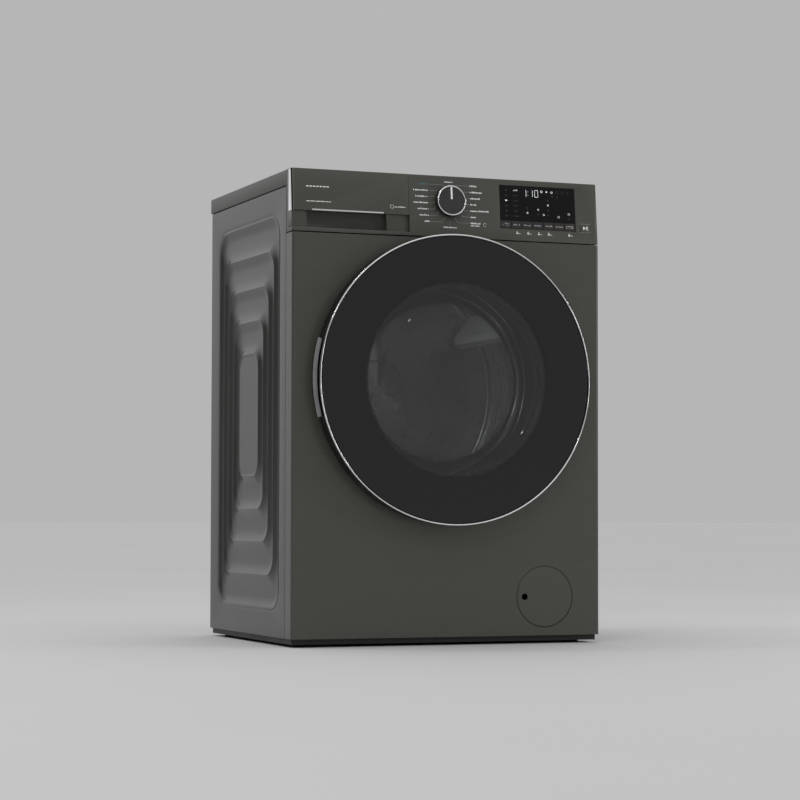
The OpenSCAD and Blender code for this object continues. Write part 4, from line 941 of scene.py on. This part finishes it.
def display_print():
    """What shows behind the display glass, and the marks printed under it."""
    draw = random.Random(23)
    x0 = DISPLAY_LOW.x / MM
    wide = (DISPLAY_HIGH.x - DISPLAY_LOW.x) / MM
    low = (DISPLAY_LOW.z - FASCIA_LOW.z) / MM / math.cos(LEAN)
    top = (DISPLAY_HIGH.z - FASCIA_LOW.z) / MM / math.cos(LEAN)
    lit, dim, white, cool, warm = Print(), Print(), Print(), Print(), Print()
    lit.digit(x0 + 53, top - 20, 0.5, 13, "bc", 0.8)
    for k in (0, 1):
        lit.disc(x0 + 57.5, top - 16.5 + 6 * k, 0.5)
    lit.digit(x0 + 60.5, top - 20, 6, 13, "bc", 0.8)
    lit.digit(x0 + 71, top - 20, 6.5, 13, "abcdef", 0.8)
    lit.hoop(x0 + 85, top - 9, 1.9, 0.8, 10)
    lit.disc(x0 + 95, top - 9, 1.5)
    lit.hoop(x0 + 105.5, top - 9.6, 1.7, 0.6, 10)
    for x in (116, 127, 137):
        dim.hoop(x0 + x, top - 9, 2.2, 0.6, 10)
    for k in range(6):
        up = top - 9 - 9.6 * k
        hold = lit if k == 2 else dim
        hold.patch([(x0 + 10.4, up), (x0 + 13, up - 2), (x0 + 15.6, up), (x0 + 13, up + 1.2)])
        (white if k == 0 else dim).words(x0 + 28, up, 9, 2.2, draw)
    for x, up in ((55, 50), (77, 43), (97, 34), (88, 52.5)):
        lit.hoop(x0 + x, top - up, 1.6, 0.45, 8)
        lit.disc(x0 + x, top - up, 0.45)
    for x, up in ((118, 55), (139, 49)):
        lit.hoop(x0 + x, top - up, 1.9, 0.4, 10)
    for x, up in ((55, 41), (77, 52), (97, 44), (97, 25), (106, 17), (116, 18), (97, 53), (139, 58)):
        dim.disc(x0 + x, top - up, 1.5)
    for k in range(7):
        a, b = x0 + 1.2 + k * (wide - 2) / 7, x0 + (k + 1) * (wide - 2) / 7
        hold = warm if k > 3 else cool
        hold.bar(a, b, low + 1.0, low + 14.6)
        mid = (a + b) / 2
        for row in ((0,) if k in (1, 2, 3, 4, 5) else (1.7, -1.7)):
            white.words(mid - 7.2, low + 7.6 + row, 14.4, 2.3 if row == 0 else 1.9, draw)
    for x in (33, 55, 76.5, 96.5, 138):
        white.hoop(x0 + x, low - 6.0, 1.4, 0.5, 8)
        white.bar(x0 + x - 1.7, x0 + x + 1.7, low - 9.4, low - 7.4)
        white.words(x0 + x + 2.6, low - 8.6, 4.5, 1.2, draw)
    lit.done("display_lit_marks", LIT, "display_glass", "cabinet")
    dim.done("display_dim_marks", UNLIT, "display_glass", "cabinet")
    cool.done("display_touch_strip", COOL_STRIP, "display_glass", "cabinet")
    warm.done("display_touch_strip_warm", WARM_STRIP, "display_glass", "cabinet")
    white.done("display_labels", WHITE_INK_PAINTED_GLOW, "display_glass", "cabinet")


KEY_PROUD = 0.8  # mm that the key stands out of the panel


def key_print():
    """Play and pause marks on the start key, and the two lines above and below it."""
    mid = (KEY_LOW.x + KEY_HIGH.x) / 2 / MM
    up = 29.0
    mark = Print(proud=KEY_PROUD)
    mark.patch([(mid - 4.6, up - 3.4), (mid + 0.2, up), (mid - 4.6, up + 3.4)])
    mark.bar(mid + 1.2, mid + 2.4, up - 3.3, up + 3.3)
    mark.bar(mid + 3.6, mid + 4.8, up - 3.3, up + 3.3)
    mark.done("start_key_mark", WHITE_INK_PAINTED_GLOW, "fascia_plastic", "start_button")
    lines = Print()
    for s in (-1, 1):
        lines.line(mid - 10.6, up + s * 8.0, mid + 10.6, up + s * 8.0, 0.6)
    lines.done("start_key_lines", GREY_INK, "fascia_plastic", "cabinet")


dial_print()
drawer_print()
display_print()
key_print()


# ---- Floor, light and camera ----

def ground():
    """A plain pale floor, wide enough to reach the horizon."""
    made, tree = blank("floor_plain_pale")
    soft = grain(tree, 900.0, fineness=1.0)
    tone = add(tree, "ValToRGB", {"stops": ((0.35, "D5D5D5"), (0.65, "D7D7D7"))}, {"Fac": (soft, "Fac")})
    shader = add(tree, "BsdfPrincipled", {"Roughness": 0.9, "Specular IOR Level": 0.1},
                 {"Base Color": (tone, "Color")})
    add(tree, "OutputMaterial", links={"Surface": (shader, "BSDF")})
    reach = 60.0
    shape = bpy.data.meshes.new("floor")
    shape.from_pydata([(-reach, -reach, 0), (reach, -reach, 0), (reach, reach, 0), (-reach, reach, 0)], [],
                      [(0, 1, 2, 3)])
    floor = bpy.data.objects.new("floor", shape)
    bpy.context.scene.collection.objects.link(floor)
    shape.materials.append(made)


def softbox(name, at, towards, size, power):
    """A rectangular lamp of that size in metres and power in watts."""
    lamp = bpy.data.lights.new(name, "AREA")
    lamp.shape = "RECTANGLE"
    lamp.size, lamp.size_y = size
    lamp.energy = power
    made = bpy.data.objects.new(name, lamp)
    made.location = at
    made.rotation_euler = (Vector(towards) - Vector(at)).to_track_quat("-Z", "Y").to_euler()
    bpy.context.scene.collection.objects.link(made)


GREY_WALL = 0.46  # brightness ahead of the machine and behind it
DARK_WALL = 0.015  # and to its left and right
GREY_SEEN = 0.468  # the plain backdrop


def room_light():
    """An even grey room, dark only to the machine's left and right, so slanting faces stand out. The
    camera itself sees the plain grey."""
    world = bpy.data.worlds.new("studio")
    world.use_nodes = True
    tree = world.node_tree
    tree.nodes.clear()
    places = add(tree, "TexCoord")
    way = add(tree, "SeparateXYZ", links={"Vector": (places, "Generated")})
    aside = add(tree, "Math", {"operation": "ABSOLUTE"}, {0: (way, "X")})
    walls = add(tree, "MapRange", {"From Min": 0.58, "From Max": 0.84, "To Min": GREY_WALL,
                                   "To Max": DARK_WALL}, {"Value": (aside, "Value")})
    ceiling = add(tree, "MapRange", {"From Min": 0.35, "From Max": 1.0, "To Min": 0.0, "To Max": 0.6},
                  {"Value": (way, "Z")})
    behind = add(tree, "MapRange", {"From Min": 0.5, "From Max": 0.9}, {"Value": (way, "Y")})
    higher = add(tree, "MapRange", {"From Min": -0.04, "From Max": 0.16, "To Min": 0.0, "To Max": 0.27},
                 {"Value": (way, "Z")})
    window = add(tree, "Math", {"operation": "MULTIPLY"}, {0: (behind, "Result"), 1: (higher, "Result")})
    room = add(tree, "Math", {"operation": "ADD"}, {0: (ceiling, "Result"), 1: (walls, "Result")})
    glow = add(tree, "Math", {"operation": "ADD"}, {0: (room, "Value"), 1: (window, "Value")})
    lit = add(tree, "Background", {"Color": (1, 1, 1, 1)}, {"Strength": (glow, "Value")})
    seen = add(tree, "Background", {"Color": (1, 1, 1, 1), "Strength": GREY_SEEN})
    ray = add(tree, "LightPath")
    both = add(tree, "MixShader",
               links={"Fac": (ray, "Is Camera Ray"), 1: (lit, "Background"), 2: (seen, "Background")})
    add(tree, "OutputWorld", links={"Surface": (both, "Shader")})
    bpy.context.scene.world = world


CAMERA_AT = (-1.678, -4.277, 0.2356)
CAMERA_YAW, CAMERA_PITCH, CAMERA_ROLL = 0.3725, 0.047, -0.002
FOCAL_MM = 109.2


def camera():
    """Stands low, ahead and to the left of the machine, and looks slightly up at it."""
    lens = bpy.data.cameras.new("camera")
    lens.lens, lens.sensor_width = FOCAL_MM, 36.0
    lens.clip_end = 200.0
    made = bpy.data.objects.new("camera", lens)
    level = math.cos(CAMERA_PITCH)
    ahead = Vector((math.sin(CAMERA_YAW) * level, math.cos(CAMERA_YAW) * level, math.sin(CAMERA_PITCH)))
    made.location = CAMERA_AT
    turn = Matrix.Rotation(CAMERA_ROLL, 3, ahead) @ ahead.to_track_quat("-Z", "Y").to_matrix()
    made.rotation_euler = turn.to_euler()
    bpy.context.scene.collection.objects.link(made)
    bpy.context.scene.camera = made


ground()
room_light()
camera()
softbox("high_left", (-1.25, 0.35, 2.7), (-0.3, 0.0, 0.5), (0.4, 0.4), 7.0)
softbox("front_key", (-2.3, -3.0, 2.6), (0.0, -0.2, 0.45), (0.4, 0.4), 8.0)
softbox("right_strip", (2.6, -1.6, 1.0), (0.2, -0.2, 0.45), (0.3, 1.4), 13.0)
softbox("drum_lamp", (-0.05, deep(80), DOOR_Z + 0.14), (0.10, deep(330), DOOR_Z - 0.10), (0.02, 0.08), 0.12)
bpy.context.scene.view_settings.view_transform = "Standard"
